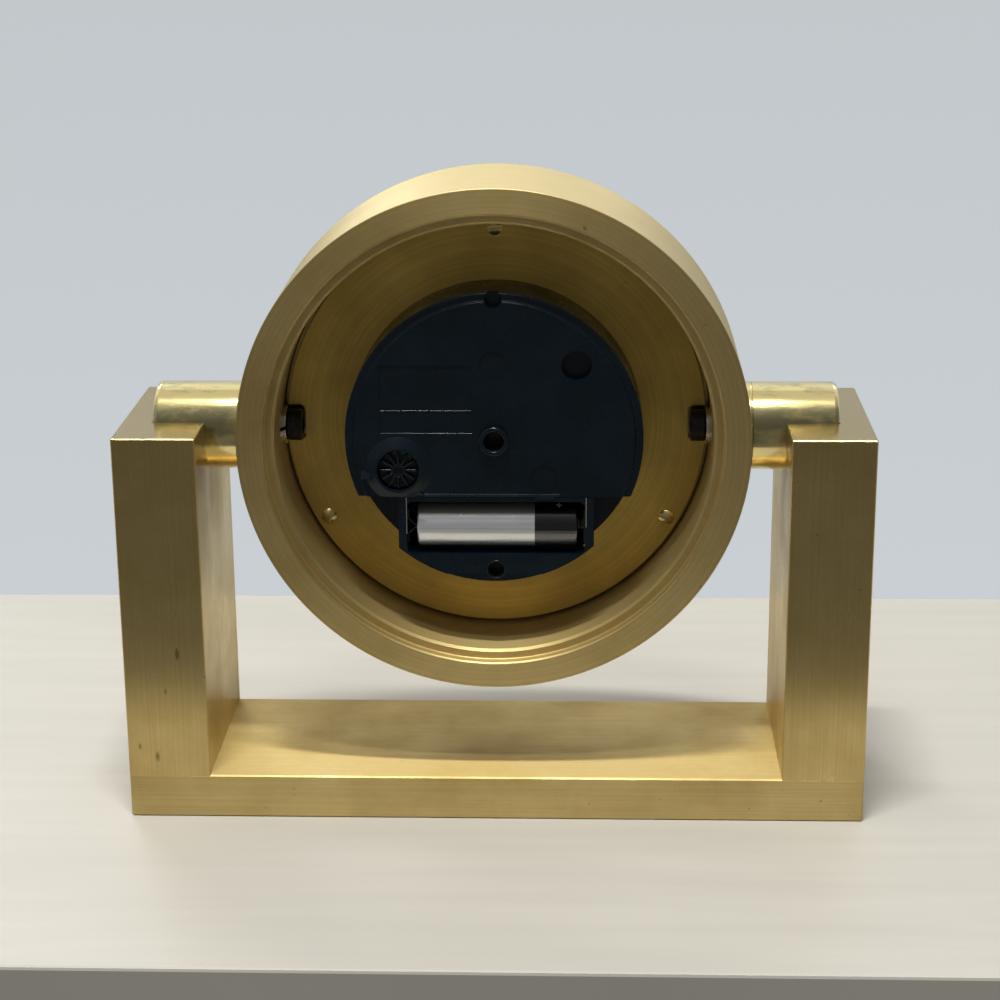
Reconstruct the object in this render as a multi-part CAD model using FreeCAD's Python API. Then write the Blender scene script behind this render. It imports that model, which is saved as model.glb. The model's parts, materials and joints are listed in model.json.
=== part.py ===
import FreeCAD, Part
import math
import os

from FreeCAD import Vector

# Swivelling brass desk clock with a calendar: a U-shaped stand of solid bars
# carries a thick turned drum on two horizontal shafts.  The dial faces -Y, the
# open back with the quartz movement faces +Y, +Z is up, and the origin is the
# centre of the underside of the stand.  All sizes are in millimetres.
# "Depth" is measured from the rear rim of the drum towards the dial, and
# "right" and "up" are seen from behind the drum, from the drum's own axis.

# ---- stand -------------------------------------------------------------
stand_width = 228.6
stand_depth = 63.5
stand_height = 123.0
base_thickness = 14.0
post_width = 25.4
bar_chamfer = 0.45

# ---- trunnion shafts ---------------------------------------------------
shaft_radius = 13.65
shaft_below_top = 4.0
running_fit = 0.05
blind_wall = 8.1
shaft_end_gap = 1.2
shaft_end_chamfer = 1.2
shaft_seat_depth = 1.75
cap_screw_radius = 3.0
cap_screw_clearance = 0.3
cap_head_radius = 5.1
cap_head_height = 4.6
cap_screw_reach = 14.0
cap_socket_width = 5.0
cap_socket_depth = 2.6
washer_radius = 5.9
washer_thickness = 2.2
washer_slit = 1.0
spot_face_depth = 0.4
spot_face_gap = 0.05

# ---- drum --------------------------------------------------------------
drum_radius = 77.75
drum_length = 49.0
drum_wall = 11.15
rabbet_step = 3.05
rabbet_depth = 3.4
bore_break = 0.8
dial_room = 21.6
front_lip_height = 4.1
front_lip_thickness = 3.0
front_break = 1.5

# ---- dial side ---------------------------------------------------------
plate_edge_gap = 1.3
plate_thickness = 3.2
plate_notch_gap = 0.6
plate_notch_corner = 2.0
plate_screw_inset = 3.8
plate_screw_radius = 1.5
plate_screw_head_radius = 2.4
plate_screw_head_height = 1.3
plate_screw_length = 5.8
plate_screw_slot = 0.9
dial_gap = 0.3
dial_thickness = 0.5
marker_edge_gap = 1.6
marker_length = 5.0
marker_width = 1.6
quarter_marker_width = 3.0
marker_height = 0.8
surround_width = 8.1
surround_fit = 0.05
glass_gap = 0.3
glass_thickness = 2.6

# ---- movement housing --------------------------------------------------
movement_radius = 45.45
movement_height = 21.0
housing_wall = 1.6
base_height = 7.1
base_floor_thickness = 1.8
cover_rim_width = 2.65
cover_step = 0.8
cover_seam = 0.15
box_wall_left = 2.6
box_wall_right = 2.8
pocket_room_left = 3.0
pocket_room_right = 1.2
pocket_room_above = 2.0
pocket_room_below = 0.9
pocket_corner = 2.0
notch_inset = 2.1
low_notch_inset = 4.15
notch_radius = 2.6
notch_depth = 4.0
label_left = -34.6
label_right = -6.6
label_bottom = 2.0
label_top = 23.1
label_divider = 9.1
label_rib = 0.5
label_depth = 0.4
blind_hole = (25.1, 23.2)
blind_hole_radius = 4.6
blind_hole_depth = 4.0
rear_boss_radius = 3.7
rear_boss_height = 2.0
rear_boss_bore = 3.0
bush_radius = 4.0
bush_length = 6.7
nut_width = 11.0
nut_thickness = 2.4

# ---- time-setting knob -------------------------------------------------
knob_place = (-29.2, -9.35)
knob_radius = 5.8
knob_stand_out = 0.8
knob_thickness = 2.4
knob_rib_count = 12
knob_rib_width = 0.7
knob_rib_height = 0.8
knob_hub_radius = 2.2
knob_stem_radius = 1.5
knob_well_gap = 1.6
knob_well_depth = 2.6

# ---- battery -----------------------------------------------------------
battery_radius = 7.1
battery_length = 49.3
battery_nub_radius = 2.6
battery_nub_length = 1.1
battery_chamfer = 0.5
battery_left = -23.9
battery_up = -28.6
battery_sink = 7.7
trough_gap = 0.4
contact_thickness = 0.4
contact_width = 7.0
contact_gap = 0.1

# ---- motion work -------------------------------------------------------
arbor_radius = 0.6
pivot_gap = 0.1
pivot_length = 1.0
tip_share = 0.80
root_share = 1.20
wheel_thickness = 0.9
setting_module = 1.0
cannon_teeth = 8
motion_wheel_teeth = 24
motion_pinion_teeth = 8
hour_wheel_teeth = 32
setting_teeth = 10
date_step_teeth = 12
date_wheel_teeth = 24
date_centre_distance = 22.0
cannon_layer_gap = 0.5
hour_layer_gap = 0.6
date_layer_gap = 0.8
date_angle = 60.0
minute_tube_radius = 1.6
hour_tube_radius = 2.5
tube_overrun = 0.9
arbor_overrun = 0.8

# ---- calendar ----------------------------------------------------------
date_ring_count = 31
date_ring_tooth_tip = 33.0
date_tooth_depth = 2.0
date_ring_radius = 40.9
date_ring_thickness = 0.6
date_pocket_depth = 1.5
date_pocket_gap = 0.1
date_finger_engagement = 0.2
date_finger_lead = 35.0
date_finger_width = 1.4
window_inset = 2.9
window_width = 5.2
window_height = 4.6
jumper_gap_number = 13
jumper_length = 13.0
jumper_width = 0.8
jumper_tip_gap = 0.2

# ---- hands -------------------------------------------------------------
hour_hand_length = 32.0
hour_hand_width = 4.6
minute_hand_length = 47.0
minute_hand_width = 3.4
second_hand_length = 46.0
second_hand_tail = 14.0
second_hand_width = 1.1
hand_gap = 0.9
second_hand_gap = 0.8
hand_thickness = 0.45
hour_hand_angle = 305.0
minute_hand_angle = 60.0
second_hand_angle = 210.0

# ---- places worked out from the sizes above ------------------------------
pivot_height = stand_height - shaft_below_top
rear_y = drum_length / 2
post_inner_x = stand_width / 2 - post_width
bore_end_x = stand_width / 2 - blind_wall
shaft_end_x = bore_end_x - shaft_end_gap
shaft_seat_x = drum_radius - shaft_seat_depth
bore_radius = drum_radius - drum_wall
rabbet_radius = bore_radius + rabbet_step
front_lip_radius = bore_radius - front_lip_height
washer_seat_x = bore_radius + spot_face_depth
cap_head_x = washer_seat_x - washer_thickness
plate_depth = drum_length - dial_room
plate_radius = bore_radius - plate_edge_gap
plate_screw_circle = plate_radius - plate_screw_inset
plate_front = plate_depth + plate_thickness
dial_opening_radius = bore_radius - surround_width
dial_radius = dial_opening_radius - dial_gap
marker_outer_radius = dial_radius - marker_edge_gap
dial_front = plate_front + dial_thickness
glass_front = drum_length - front_lip_thickness
glass_rear = glass_front - glass_thickness
pocket_floor = plate_front - date_pocket_depth
date_ring_depth = pocket_floor + date_pocket_gap
date_ring_front = date_ring_depth + date_ring_thickness
date_ring_tooth_root = date_ring_tooth_tip + date_tooth_depth
date_finger_reach = date_ring_tooth_tip + date_finger_engagement - date_centre_distance
window_radius = date_ring_radius - window_inset
movement_depth = plate_depth - movement_height
base_rear_depth = plate_depth - base_height
base_floor_depth = plate_depth - base_floor_thickness
cover_plateau_radius = movement_radius - cover_rim_width
notch_up = movement_radius - notch_inset
low_notch_up = low_notch_inset - movement_radius
battery_depth = movement_depth + battery_sink
pocket_left = battery_left - pocket_room_left
pocket_right = battery_left + battery_length + battery_nub_length + pocket_room_right
pocket_top = battery_up + battery_radius + pocket_room_above
pocket_bottom = battery_up - battery_radius - pocket_room_below
chord_up = pocket_top + housing_wall
box_left = pocket_left - box_wall_left
box_right = pocket_right + box_wall_right
knob_rear_depth = movement_depth - knob_stand_out
cannon_layer = base_rear_depth + cannon_layer_gap
hour_layer = cannon_layer + wheel_thickness + hour_layer_gap
date_layer = hour_layer + wheel_thickness + date_layer_gap
pivot_front = base_floor_depth + pivot_length
bush_front = plate_depth + bush_length
hour_hand_depth = bush_front + hand_gap
hour_tube_end = hour_hand_depth + tube_overrun
minute_hand_depth = hour_tube_end + hand_gap
minute_tube_end = minute_hand_depth + tube_overrun
second_hand_depth = minute_tube_end + second_hand_gap
second_arbor_end = second_hand_depth + arbor_overrun

REAR = Vector(0, 1, 0)
FRONT = Vector(0, -1, 0)


# ---- helpers -------------------------------------------------------------
def at(right, up, depth):
    return Vector(-right, rear_y - depth, pivot_height + up)


def polar(radius, degrees, centre=(0.0, 0.0)):
    angle = math.radians(degrees)
    return centre[0] + radius * math.cos(angle), centre[1] + radius * math.sin(angle)


def distance(first, second):
    return math.hypot(second[0] - first[0], second[1] - first[1])


def bearing(first, second):
    return math.degrees(math.atan2(second[1] - first[1], second[0] - first[0]))


def disc(radius, depth_from, depth_to, place=(0.0, 0.0)):
    return Part.makeCylinder(radius, depth_to - depth_from, at(place[0], place[1], depth_from), FRONT)


def ring(outer, inner, depth_from, depth_to, place=(0.0, 0.0)):
    hole = disc(inner, depth_from - 1, depth_to + 1, place)
    return disc(outer, depth_from, depth_to, place).cut(hole)


def block(left, right, bottom, top, depth_from, depth_to):
    corner = at(right, bottom, depth_to)
    return Part.makeBox(right - left, depth_to - depth_from, top - bottom, corner)


def plate_of(points, depth_from, depth_to):
    outline = [at(right, up, depth_from) for right, up in points]
    face = Part.Face(Part.makePolygon(outline + outline[:1]))
    return face.extrude(FRONT * (depth_to - depth_from))


def turned(profile):
    outline = [at(0, radius, depth) for radius, depth in profile]
    face = Part.Face(Part.makePolygon(outline + outline[:1]))
    return face.revolve(at(0, 0, 0), REAR, 360)


def fused(shapes):
    whole = shapes[0]
    if len(shapes) > 1:
        whole = whole.multiFuse(list(shapes[1:]))
    return whole.removeSplitter()


def hexagon(width, depth_from, depth_to, place=(0.0, 0.0)):
    corners = [polar(width / math.sqrt(3), 60 * i, place) for i in range(6)]
    return plate_of(corners, depth_from, depth_to)


def hexagon_along(width, length, start, direction):
    rim = width / math.sqrt(3)
    prism = Part.Face(Part.makePolygon([
        Vector(rim * math.cos(math.radians(60 * i)), rim * math.sin(math.radians(60 * i)), 0)
        for i in range(7)])).extrude(Vector(0, 0, length))
    prism.Placement = FreeCAD.Placement(start, FreeCAD.Rotation(Vector(0, 0, 1), direction))
    return prism


def half_turn(shape):
    turned_shape = shape.copy()
    turned_shape.rotate(Vector(0, 0, 0), Vector(0, 0, 1), 180)
    return turned_shape


def half_turn_about_axis(shape):
    turned_shape = shape.copy()
    turned_shape.rotate(at(0, 0, 0), REAR, 180)
    return turned_shape


def save(node, shape):
    shape.exportStep(os.path.join("parts", node + ".step"))


# ---- gears: pointed straight-flanked teeth with backlash ---------------------
def gear_outline(teeth, module, centre, phase):
    root = (teeth / 2 - root_share) * module
    tip = (teeth / 2 + tip_share) * module
    points = []
    for i in range(teeth):
        points.append(polar(tip, phase + i * 360.0 / teeth, centre))
        points.append(polar(root, phase + (i + 0.5) * 360.0 / teeth, centre))
    return points


def gear(teeth, module, centre, phase, depth, thickness=wheel_thickness):
    return plate_of(gear_outline(teeth, module, centre, phase), depth, depth + thickness)


def meshing_phase(teeth, phase, centre, mate_teeth, mate_centre):
    """Phase that sets a gap of the mate on the line of a tooth of this gear."""
    line = bearing(centre, mate_centre)
    offset = ((line - phase) / (360.0 / teeth)) % 1.0
    return line + 180 + (offset + 0.5) * 360.0 / mate_teeth


def shared_module(centre_distance, teeth, mate_teeth):
    return 2 * centre_distance / (teeth + mate_teeth)


def wheel_places():
    """Axes of the motion work, each set off by its own pair of gears."""
    centre = (0.0, 0.0)
    motion_span = setting_module * (cannon_teeth + motion_wheel_teeth) / 2
    setting_span = setting_module * (setting_teeth + motion_wheel_teeth) / 2
    knob_span = distance(centre, knob_place)
    swing = (motion_span ** 2 + knob_span ** 2 - setting_span ** 2) / (2 * motion_span * knob_span)
    motion_bearing = bearing(centre, knob_place) - math.degrees(math.acos(swing))
    return {
        "centre": centre,
        "motion": polar(motion_span, motion_bearing),
        "date": polar(date_centre_distance, date_angle),
        "knob": knob_place,
    }


PLACES = wheel_places()


# ---- stand -----------------------------------------------------------------
def base_bar():
    bar = Part.makeBox(stand_width, stand_depth, base_thickness,
                       Vector(-stand_width / 2, -stand_depth / 2, 0))
    return bar.makeChamfer(bar_chamfer, bar.Edges)


def right_post():
    """Post on +X, with the blind trunnion bore that breaks out through its top."""
    post = Part.makeBox(post_width, stand_depth, stand_height - base_thickness,
                        Vector(post_inner_x, -stand_depth / 2, base_thickness))
    post = post.makeChamfer(bar_chamfer, post.Edges)
    bore = Part.makeCylinder(shaft_radius + running_fit, bore_end_x - post_inner_x + 1,
                             Vector(post_inner_x - 1, 0, pivot_height), Vector(1, 0, 0))
    return post.cut(bore)


# ---- drum and its shafts -----------------------------------------------------
def drum_case():
    profile = [
        (drum_radius, 0),
        (drum_radius, drum_length - front_break),
        (drum_radius - front_break, drum_length),
        (front_lip_radius, drum_length),
        (front_lip_radius, glass_front),
        (bore_radius, glass_front),
        (bore_radius, rabbet_depth + bore_break),
        (bore_radius + bore_break, rabbet_depth),
        (rabbet_radius, rabbet_depth),
        (rabbet_radius, 0),
    ]
    case = turned(profile)
    for side in (1, -1):
        way = Vector(side, 0, 0)
        seat = Part.makeCylinder(shaft_radius + running_fit, shaft_seat_depth + 1,
                                 Vector(side * shaft_seat_x, 0, pivot_height), way)
        hole = Part.makeCylinder(cap_screw_radius + cap_screw_clearance, shaft_seat_x,
                                 Vector(side * cap_head_x, 0, pivot_height), way)
        spot = Part.makeCylinder(washer_radius + spot_face_gap, washer_seat_x - cap_head_x,
                                 Vector(side * cap_head_x, 0, pivot_height), way)
        case = case.cut(seat).cut(hole).cut(spot)
    return case


def trunnion_shafts():
    """Two polished shafts, each chamfered at its end and drilled for its cap screw."""
    length = shaft_end_x - shaft_seat_x
    way = Vector(1, 0, 0)
    shaft = Part.makeCylinder(shaft_radius, length, Vector(shaft_seat_x, 0, pivot_height), way)
    rims = [edge for edge in shaft.Edges if edge.BoundBox.XMin > shaft_end_x - 0.01]
    shaft = shaft.makeChamfer(shaft_end_chamfer, rims)
    tapped = Part.makeCylinder(cap_screw_radius + running_fit, cap_screw_reach + 0.5,
                               Vector(shaft_seat_x, 0, pivot_height), way)
    shaft = shaft.cut(tapped)
    return Part.makeCompound([shaft, half_turn(shaft)])


def trunnion_screws():
    way = Vector(1, 0, 0)
    head = Part.makeCylinder(cap_head_radius, cap_head_height,
                             Vector(cap_head_x - cap_head_height, 0, pivot_height), way)
    shank = Part.makeCylinder(cap_screw_radius, shaft_seat_x + cap_screw_reach - cap_head_x,
                              Vector(cap_head_x - 0.5, 0, pivot_height), way)
    socket = hexagon_along(cap_socket_width, cap_socket_depth + 1,
                           Vector(cap_head_x - cap_head_height - 1, 0, pivot_height), way)
    screw = head.fuse(shank).cut(socket).removeSplitter()
    return Part.makeCompound([screw, half_turn(screw)])


def lock_washers():
    way = Vector(1, 0, 0)
    start = Vector(cap_head_x, 0, pivot_height)
    washer = Part.makeCylinder(washer_radius, washer_thickness, start, way)
    hole = Part.makeCylinder(cap_screw_radius + cap_screw_clearance, washer_thickness, start, way)
    washer = washer.cut(hole)
    slit = Part.makeBox(washer_thickness + 2, washer_radius + 1, washer_slit,
                        Vector(cap_head_x - 1, 0, pivot_height - washer_slit / 2))
    slit.rotate(Vector(cap_head_x, washer_radius, pivot_height), Vector(0, 1, 0), 25)
    washer = washer.cut(slit)
    return Part.makeCompound([washer, half_turn(washer)])


# ---- dial side -----------------------------------------------------------------
def plate_screw_places():
    return [polar(plate_screw_circle, angle) for angle in (90, 210, 330)]


def date_window(depth_from, depth_to):
    middle = -window_radius
    return block(middle - window_width / 2, middle + window_width / 2,
                 -window_height / 2, window_height / 2, depth_from, depth_to)


def plate_notch():
    """Slot in the edge of the plate that leaves room for the head of one cap screw."""
    half = cap_head_radius + plate_notch_gap
    inner = cap_head_x - cap_head_height - plate_notch_gap
    notch = block(inner, bore_radius, -half, half, plate_depth - 1, plate_front + 1)
    corners = [edge for edge in notch.Edges
               if edge.BoundBox.YLength > 1 and edge.BoundBox.XMin > -inner - 0.01]
    return notch.makeFillet(plate_notch_corner, corners)


def dial_plate():
    """Plate that carries movement and dial, with a round pocket for the date ring in its front."""
    plate = disc(plate_radius, plate_depth, plate_front)
    plate = plate.cut(disc(date_ring_radius + running_fit, pocket_floor, plate_front + 1))
    plate = plate.cut(disc(bush_radius + running_fit, plate_depth - 1, plate_front + 1))
    plate = plate.cut(disc(arbor_radius + running_fit, plate_depth - 1, plate_front + 1, PLACES["date"]))
    plate = plate.cut(plate_notch()).cut(half_turn_about_axis(plate_notch()))
    for place in plate_screw_places():
        plate = plate.cut(disc(plate_screw_radius + running_fit, plate_depth - 1, plate_front + 1, place))
    return plate


def plate_screws():
    screws = []
    for number, place in enumerate(plate_screw_places()):
        head = disc(plate_screw_head_radius, plate_depth - plate_screw_head_height, plate_depth, place)
        shank = disc(plate_screw_radius, plate_depth - 0.5, plate_depth + plate_screw_length, place)
        half = plate_screw_head_radius + 1
        slot = block(-half, half, -plate_screw_slot / 2, plate_screw_slot / 2,
                     plate_depth - plate_screw_head_height - 1, plate_depth - plate_screw_head_height / 2)
        slot.rotate(at(0, 0, 0), REAR, 35 + 50 * number)
        slot.translate(at(place[0], place[1], 0) - at(0, 0, 0))
        screws.append(head.fuse(shank).cut(slot).removeSplitter())
    return Part.makeCompound(screws)


def dial_face():
    face = ring(dial_radius, bush_radius + running_fit, plate_front, dial_front)
    return face.cut(date_window(plate_front - 1, dial_front + 1))


def hour_markers():
    markers = []
    for hour in range(12):
        width = quarter_marker_width if hour % 3 == 0 else marker_width
        bar = block(-width / 2, width / 2, marker_outer_radius - marker_length, marker_outer_radius,
                    dial_front, dial_front + marker_height)
        bar.rotate(at(0, 0, 0), FRONT, 30 * hour)
        markers.append(bar)
    return Part.makeCompound(markers)


def dial_surround():
    """Ring pressed into the bore: it backs the glass and takes the screws of the dial plate."""
    surround = ring(bore_radius - surround_fit, dial_opening_radius, plate_front, glass_rear)
    for place in plate_screw_places():
        surround = surround.cut(disc(plate_screw_radius + running_fit, plate_front - 1,
                                     plate_depth + plate_screw_length + 0.5, place))
    return surround


def glass():
    return disc(bore_radius - glass_gap, glass_rear, glass_front)


# ---- movement housing ------------------------------------------------------------
def above_chord(gap=0.0):
    reach = 2 * movement_radius
    return block(-reach, reach, chord_up + gap, reach, 0, drum_length)


def movement_base():
    """Round tray for the motion work, with the battery box on its rear and the centre bush."""
    body = disc(movement_radius - cover_seam, base_rear_depth, plate_depth)
    box = block(box_left, box_right, -movement_radius, chord_up - cover_seam,
                movement_depth, base_rear_depth + 1)
    box = box.common(disc(movement_radius - cover_seam, movement_depth, base_rear_depth + 1))
    body = body.fuse(box)
    chamber = disc(movement_radius - 1.5 * housing_wall, base_rear_depth - 1, base_floor_depth)
    body = body.cut(chamber.common(above_chord(housing_wall)))
    body = body.cut(battery_pocket())
    body = body.cut(disc(notch_radius, movement_depth - 1, movement_depth + notch_depth,
                         (0.0, low_notch_up)))
    body = fused([body, disc(bush_radius, base_floor_depth, bush_front)])
    body = body.cut(disc(hour_tube_radius + running_fit, base_floor_depth - 1, bush_front + 1))
    body = body.cut(disc(arbor_radius + running_fit, base_floor_depth - 1, plate_depth + 1, PLACES["date"]))
    for name, radius in (("motion", arbor_radius), ("knob", knob_stem_radius)):
        body = body.cut(disc(radius + running_fit, base_floor_depth - 1, pivot_front + pivot_gap,
                             PLACES[name]))
    return body


def battery_pocket():
    opening = block(pocket_left, pocket_right, pocket_bottom, pocket_top,
                    movement_depth - 1, battery_depth)
    sides = [edge for edge in opening.Edges if abs(edge.BoundBox.YLength) > 1]
    opening = opening.makeFillet(pocket_corner, sides)
    trough = Part.makeCylinder(battery_radius + trough_gap, pocket_right - pocket_left,
                               at(pocket_right, battery_up, battery_depth), Vector(1, 0, 0))
    return opening.fuse(trough)


def cover_plan(radius):
    return disc(radius, movement_depth, base_rear_depth).common(above_chord())


def movement_cover():
    """Sealed drive unit with a straight lower edge above the battery and a stepped rear face."""
    well_floor = movement_depth + knob_well_depth
    well_radius = knob_radius + knob_well_gap
    low_rim = ring(movement_radius + 1, cover_plateau_radius, movement_depth - 1,
                   movement_depth + cover_step)
    body = cover_plan(movement_radius).cut(low_rim)
    boss = disc(rear_boss_radius, movement_depth - rear_boss_height, movement_depth + 1)
    body = fused([body, boss])
    cuts = [
        disc(arbor_radius + running_fit, base_rear_depth - pivot_length - pivot_gap, base_rear_depth + 1),
        disc(well_radius, movement_depth - 1, well_floor, knob_place),
        disc(knob_stem_radius + running_fit, well_floor - 1, base_rear_depth + 1, knob_place),
        disc(blind_hole_radius, movement_depth - 1, movement_depth + blind_hole_depth, blind_hole),
        disc(rear_boss_bore, movement_depth - rear_boss_height - 1, movement_depth),
        disc(notch_radius, movement_depth - 1, movement_depth + notch_depth, (0.0, notch_up)),
        block(label_left, label_right, label_divider + label_rib / 2, label_top,
              movement_depth - 1, movement_depth + label_depth),
        block(label_left, label_right, label_bottom, label_divider - label_rib / 2,
              movement_depth - 1, movement_depth + label_depth),
    ]
    return body.cut(Part.makeCompound(cuts)).removeSplitter()


def centre_nut():
    nut = hexagon(nut_width, dial_front, dial_front + nut_thickness)
    return nut.cut(disc(bush_radius + running_fit, dial_front - 1, dial_front + nut_thickness + 1))


# ---- time-setting knob --------------------------------------------------------------
def set_knob():
    """Ribbed knob moulded in one with its stem and the pinion that drives the motion wheel."""
    front = knob_rear_depth + knob_thickness
    wheel = disc(knob_radius, knob_rear_depth + knob_rib_height, front, knob_place)
    hub = disc(knob_hub_radius, knob_rear_depth, front, knob_place)
    stem = disc(knob_stem_radius, front - 1, pivot_front, knob_place)
    phase = meshing_phase(motion_wheel_teeth, motion_phase(), PLACES["motion"], setting_teeth, knob_place)
    pinion = gear(setting_teeth, setting_module, knob_place, phase, cannon_layer)
    solids = [wheel, hub, stem, pinion]
    for i in range(knob_rib_count):
        rib = block(knob_hub_radius - 0.4, knob_radius - 0.2, -knob_rib_width / 2, knob_rib_width / 2,
                    knob_rear_depth, front)
        rib.rotate(at(0, 0, 0), FRONT, 360.0 * i / knob_rib_count)
        rib.translate(at(knob_place[0], knob_place[1], 0) - at(0, 0, 0))
        solids.append(rib)
    return fused(solids)


# ---- battery ---------------------------------------------------------------------------
def battery():
    start = at(battery_left + battery_length, battery_up, battery_depth)
    way = Vector(1, 0, 0)
    can = Part.makeCylinder(battery_radius, battery_length, start, way)
    can = can.makeChamfer(battery_chamfer, [can.Edges[0], can.Edges[2]])
    nub = Part.makeCylinder(battery_nub_radius, battery_nub_length + 1,
                            start - way * battery_nub_length, way)
    return can.fuse(nub).removeSplitter()


def negative_contact():
    """Leaf spring folded towards the flat end of the battery."""
    wall = pocket_left
    crest = battery_left - contact_gap
    middle = battery_up
    half = battery_radius * 0.75
    outline = [
        (wall, middle - half), (wall + contact_thickness, middle - half),
        (wall + contact_thickness, middle - half / 2), (crest, middle),
        (wall + contact_thickness, middle + half / 2), (wall + contact_thickness, middle + half),
        (wall, middle + half), (wall, middle + half / 2 - contact_thickness),
        (crest - contact_thickness, middle), (wall, middle - half / 2 + contact_thickness),
    ]
    return plate_of(outline, battery_depth - contact_width / 2, battery_depth + contact_width / 2)


def positive_contact():
    """Flat strip with an upset pad against the raised end of the battery."""
    tip = battery_left + battery_length + battery_nub_length + contact_gap
    half = battery_radius * 0.75
    strip = block(pocket_right - contact_thickness, pocket_right, battery_up - half, battery_up + half,
                  battery_depth - contact_width / 2, battery_depth + contact_width / 2)
    pad = Part.makeCylinder(battery_nub_radius, pocket_right - tip,
                            at(pocket_right, battery_up, battery_depth), Vector(1, 0, 0))
    return strip.fuse(pad).removeSplitter()


# ---- motion work -----------------------------------------------------------------------
def seconds_arbor():
    return disc(arbor_radius, base_rear_depth - pivot_length, second_arbor_end)


def cannon_phase():
    return bearing(PLACES["centre"], PLACES["motion"])


def motion_phase():
    return meshing_phase(cannon_teeth, cannon_phase(), PLACES["centre"],
                         motion_wheel_teeth, PLACES["motion"])


def cannon_pinion():
    leaves = gear(cannon_teeth, setting_module, PLACES["centre"], cannon_phase(), cannon_layer)
    tube = disc(minute_tube_radius, base_rear_depth + pivot_gap, minute_tube_end)
    return fused([tube, leaves]).cut(disc(arbor_radius + running_fit, 0, drum_length))


def motion_wheel():
    place = PLACES["motion"]
    wheel = gear(motion_wheel_teeth, setting_module, place, motion_phase(), cannon_layer)
    module = shared_module(distance(PLACES["centre"], place), motion_pinion_teeth, hour_wheel_teeth)
    pinion = gear(motion_pinion_teeth, module, place, bearing(place, PLACES["centre"]),
                  cannon_layer + wheel_thickness, hour_layer - cannon_layer + 0.2)
    arbor = disc(arbor_radius, base_rear_depth + pivot_gap, pivot_front, place)
    return fused([wheel, pinion, arbor])


def date_step_phase():
    return bearing(PLACES["centre"], PLACES["date"])


def hour_wheel():
    place = PLACES["motion"]
    module = shared_module(distance(PLACES["centre"], place), motion_pinion_teeth, hour_wheel_teeth)
    phase = meshing_phase(motion_pinion_teeth, bearing(place, PLACES["centre"]), place,
                          hour_wheel_teeth, PLACES["centre"])
    wheel = gear(hour_wheel_teeth, module, PLACES["centre"], phase, hour_layer)
    date_module = shared_module(date_centre_distance, date_step_teeth, date_wheel_teeth)
    date_step = gear(date_step_teeth, date_module, PLACES["centre"], date_step_phase(),
                     hour_layer + wheel_thickness, date_layer - hour_layer)
    tube = disc(hour_tube_radius, hour_layer, hour_tube_end)
    return fused([wheel, date_step, tube]).cut(disc(minute_tube_radius + running_fit, 0, drum_length))


def date_wheel():
    """Wheel of one turn a day, with the finger that steps the date ring."""
    module = shared_module(date_centre_distance, date_step_teeth, date_wheel_teeth)
    phase = meshing_phase(date_step_teeth, date_step_phase(), PLACES["centre"],
                          date_wheel_teeth, PLACES["date"])
    wheel = gear(date_wheel_teeth, module, PLACES["date"], phase, date_layer)
    arbor = disc(arbor_radius, base_rear_depth + pivot_gap, date_ring_front, PLACES["date"])
    half = date_finger_width / 2
    finger = block(-half, date_finger_reach, -half, half, date_ring_depth, date_ring_front)
    finger.rotate(at(0, 0, 0), REAR, date_angle + date_finger_lead)
    finger.translate(at(PLACES["date"][0], PLACES["date"][1], 0) - at(0, 0, 0))
    return fused([wheel, arbor, finger])


def date_ring_gap(number):
    """Bearing of a gap between two teeth; the finger meets a gap each time it comes round."""
    first = date_angle + date_finger_lead / date_ring_count
    return first + number * 360.0 / date_ring_count


def date_ring():
    """Flat ring with one inward tooth for each day of the month."""
    outline = []
    for i in range(date_ring_count):
        outline.append(polar(date_ring_tooth_root, date_ring_gap(i)))
        outline.append(polar(date_ring_tooth_tip, date_ring_gap(i + 0.5)))
    blank = disc(date_ring_radius, date_ring_depth, date_ring_front)
    return blank.cut(plate_of(outline, date_ring_depth - 1, date_ring_front + 1))


def date_jumper():
    """Spring arm whose nose points at a gap between two teeth of the date ring."""
    nose = date_ring_tooth_tip - jumper_tip_gap
    body = nose - 2 * jumper_width
    spread = math.degrees(jumper_length / body)
    middle = date_ring_gap(jumper_gap_number)
    outline = [polar(body, middle - spread * i / 4) for i in range(5)]
    outline += [polar(body + jumper_width, middle - spread * (4 - i) / 4) for i in range(4)]
    outline += [polar(body + jumper_width, middle - 1.4), polar(nose, middle),
                polar(body + jumper_width, middle + 1.4), polar(body, middle + 1.4)]
    arm = plate_of(outline, date_ring_depth, date_ring_front)
    foot = disc(2 * jumper_width, pocket_floor, date_ring_front, polar(body, middle - spread))
    return fused([arm, foot])


# ---- hands ------------------------------------------------------------------------------------
def hand(outline, bore_tube, hub_radius, depth, angle):
    """Flat hand drawn pointing up, bored for its tube and turned clockwise as the dial is seen."""
    blade = plate_of(outline, depth, depth + hand_thickness)
    hub = disc(hub_radius, depth, depth + hand_thickness)
    whole = fused([blade, hub]).cut(disc(bore_tube, 0, drum_length))
    whole.rotate(at(0, 0, 0), REAR, angle)
    return whole


def tapered_outline(length, width, tail=0.0):
    waist = width * 0.34
    return [(-waist, -tail), (waist, -tail), (waist * 1.1, length * 0.2), (width / 2, length * 0.62),
            (0, length), (-width / 2, length * 0.62), (-waist * 1.1, length * 0.2)]


def hour_hand():
    outline = tapered_outline(hour_hand_length, hour_hand_width)
    return hand(outline, hour_tube_radius, hour_tube_radius + 1.3, hour_hand_depth, hour_hand_angle)


def minute_hand():
    outline = tapered_outline(minute_hand_length, minute_hand_width)
    return hand(outline, minute_tube_radius, minute_tube_radius + 1.5, minute_hand_depth, minute_hand_angle)


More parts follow.
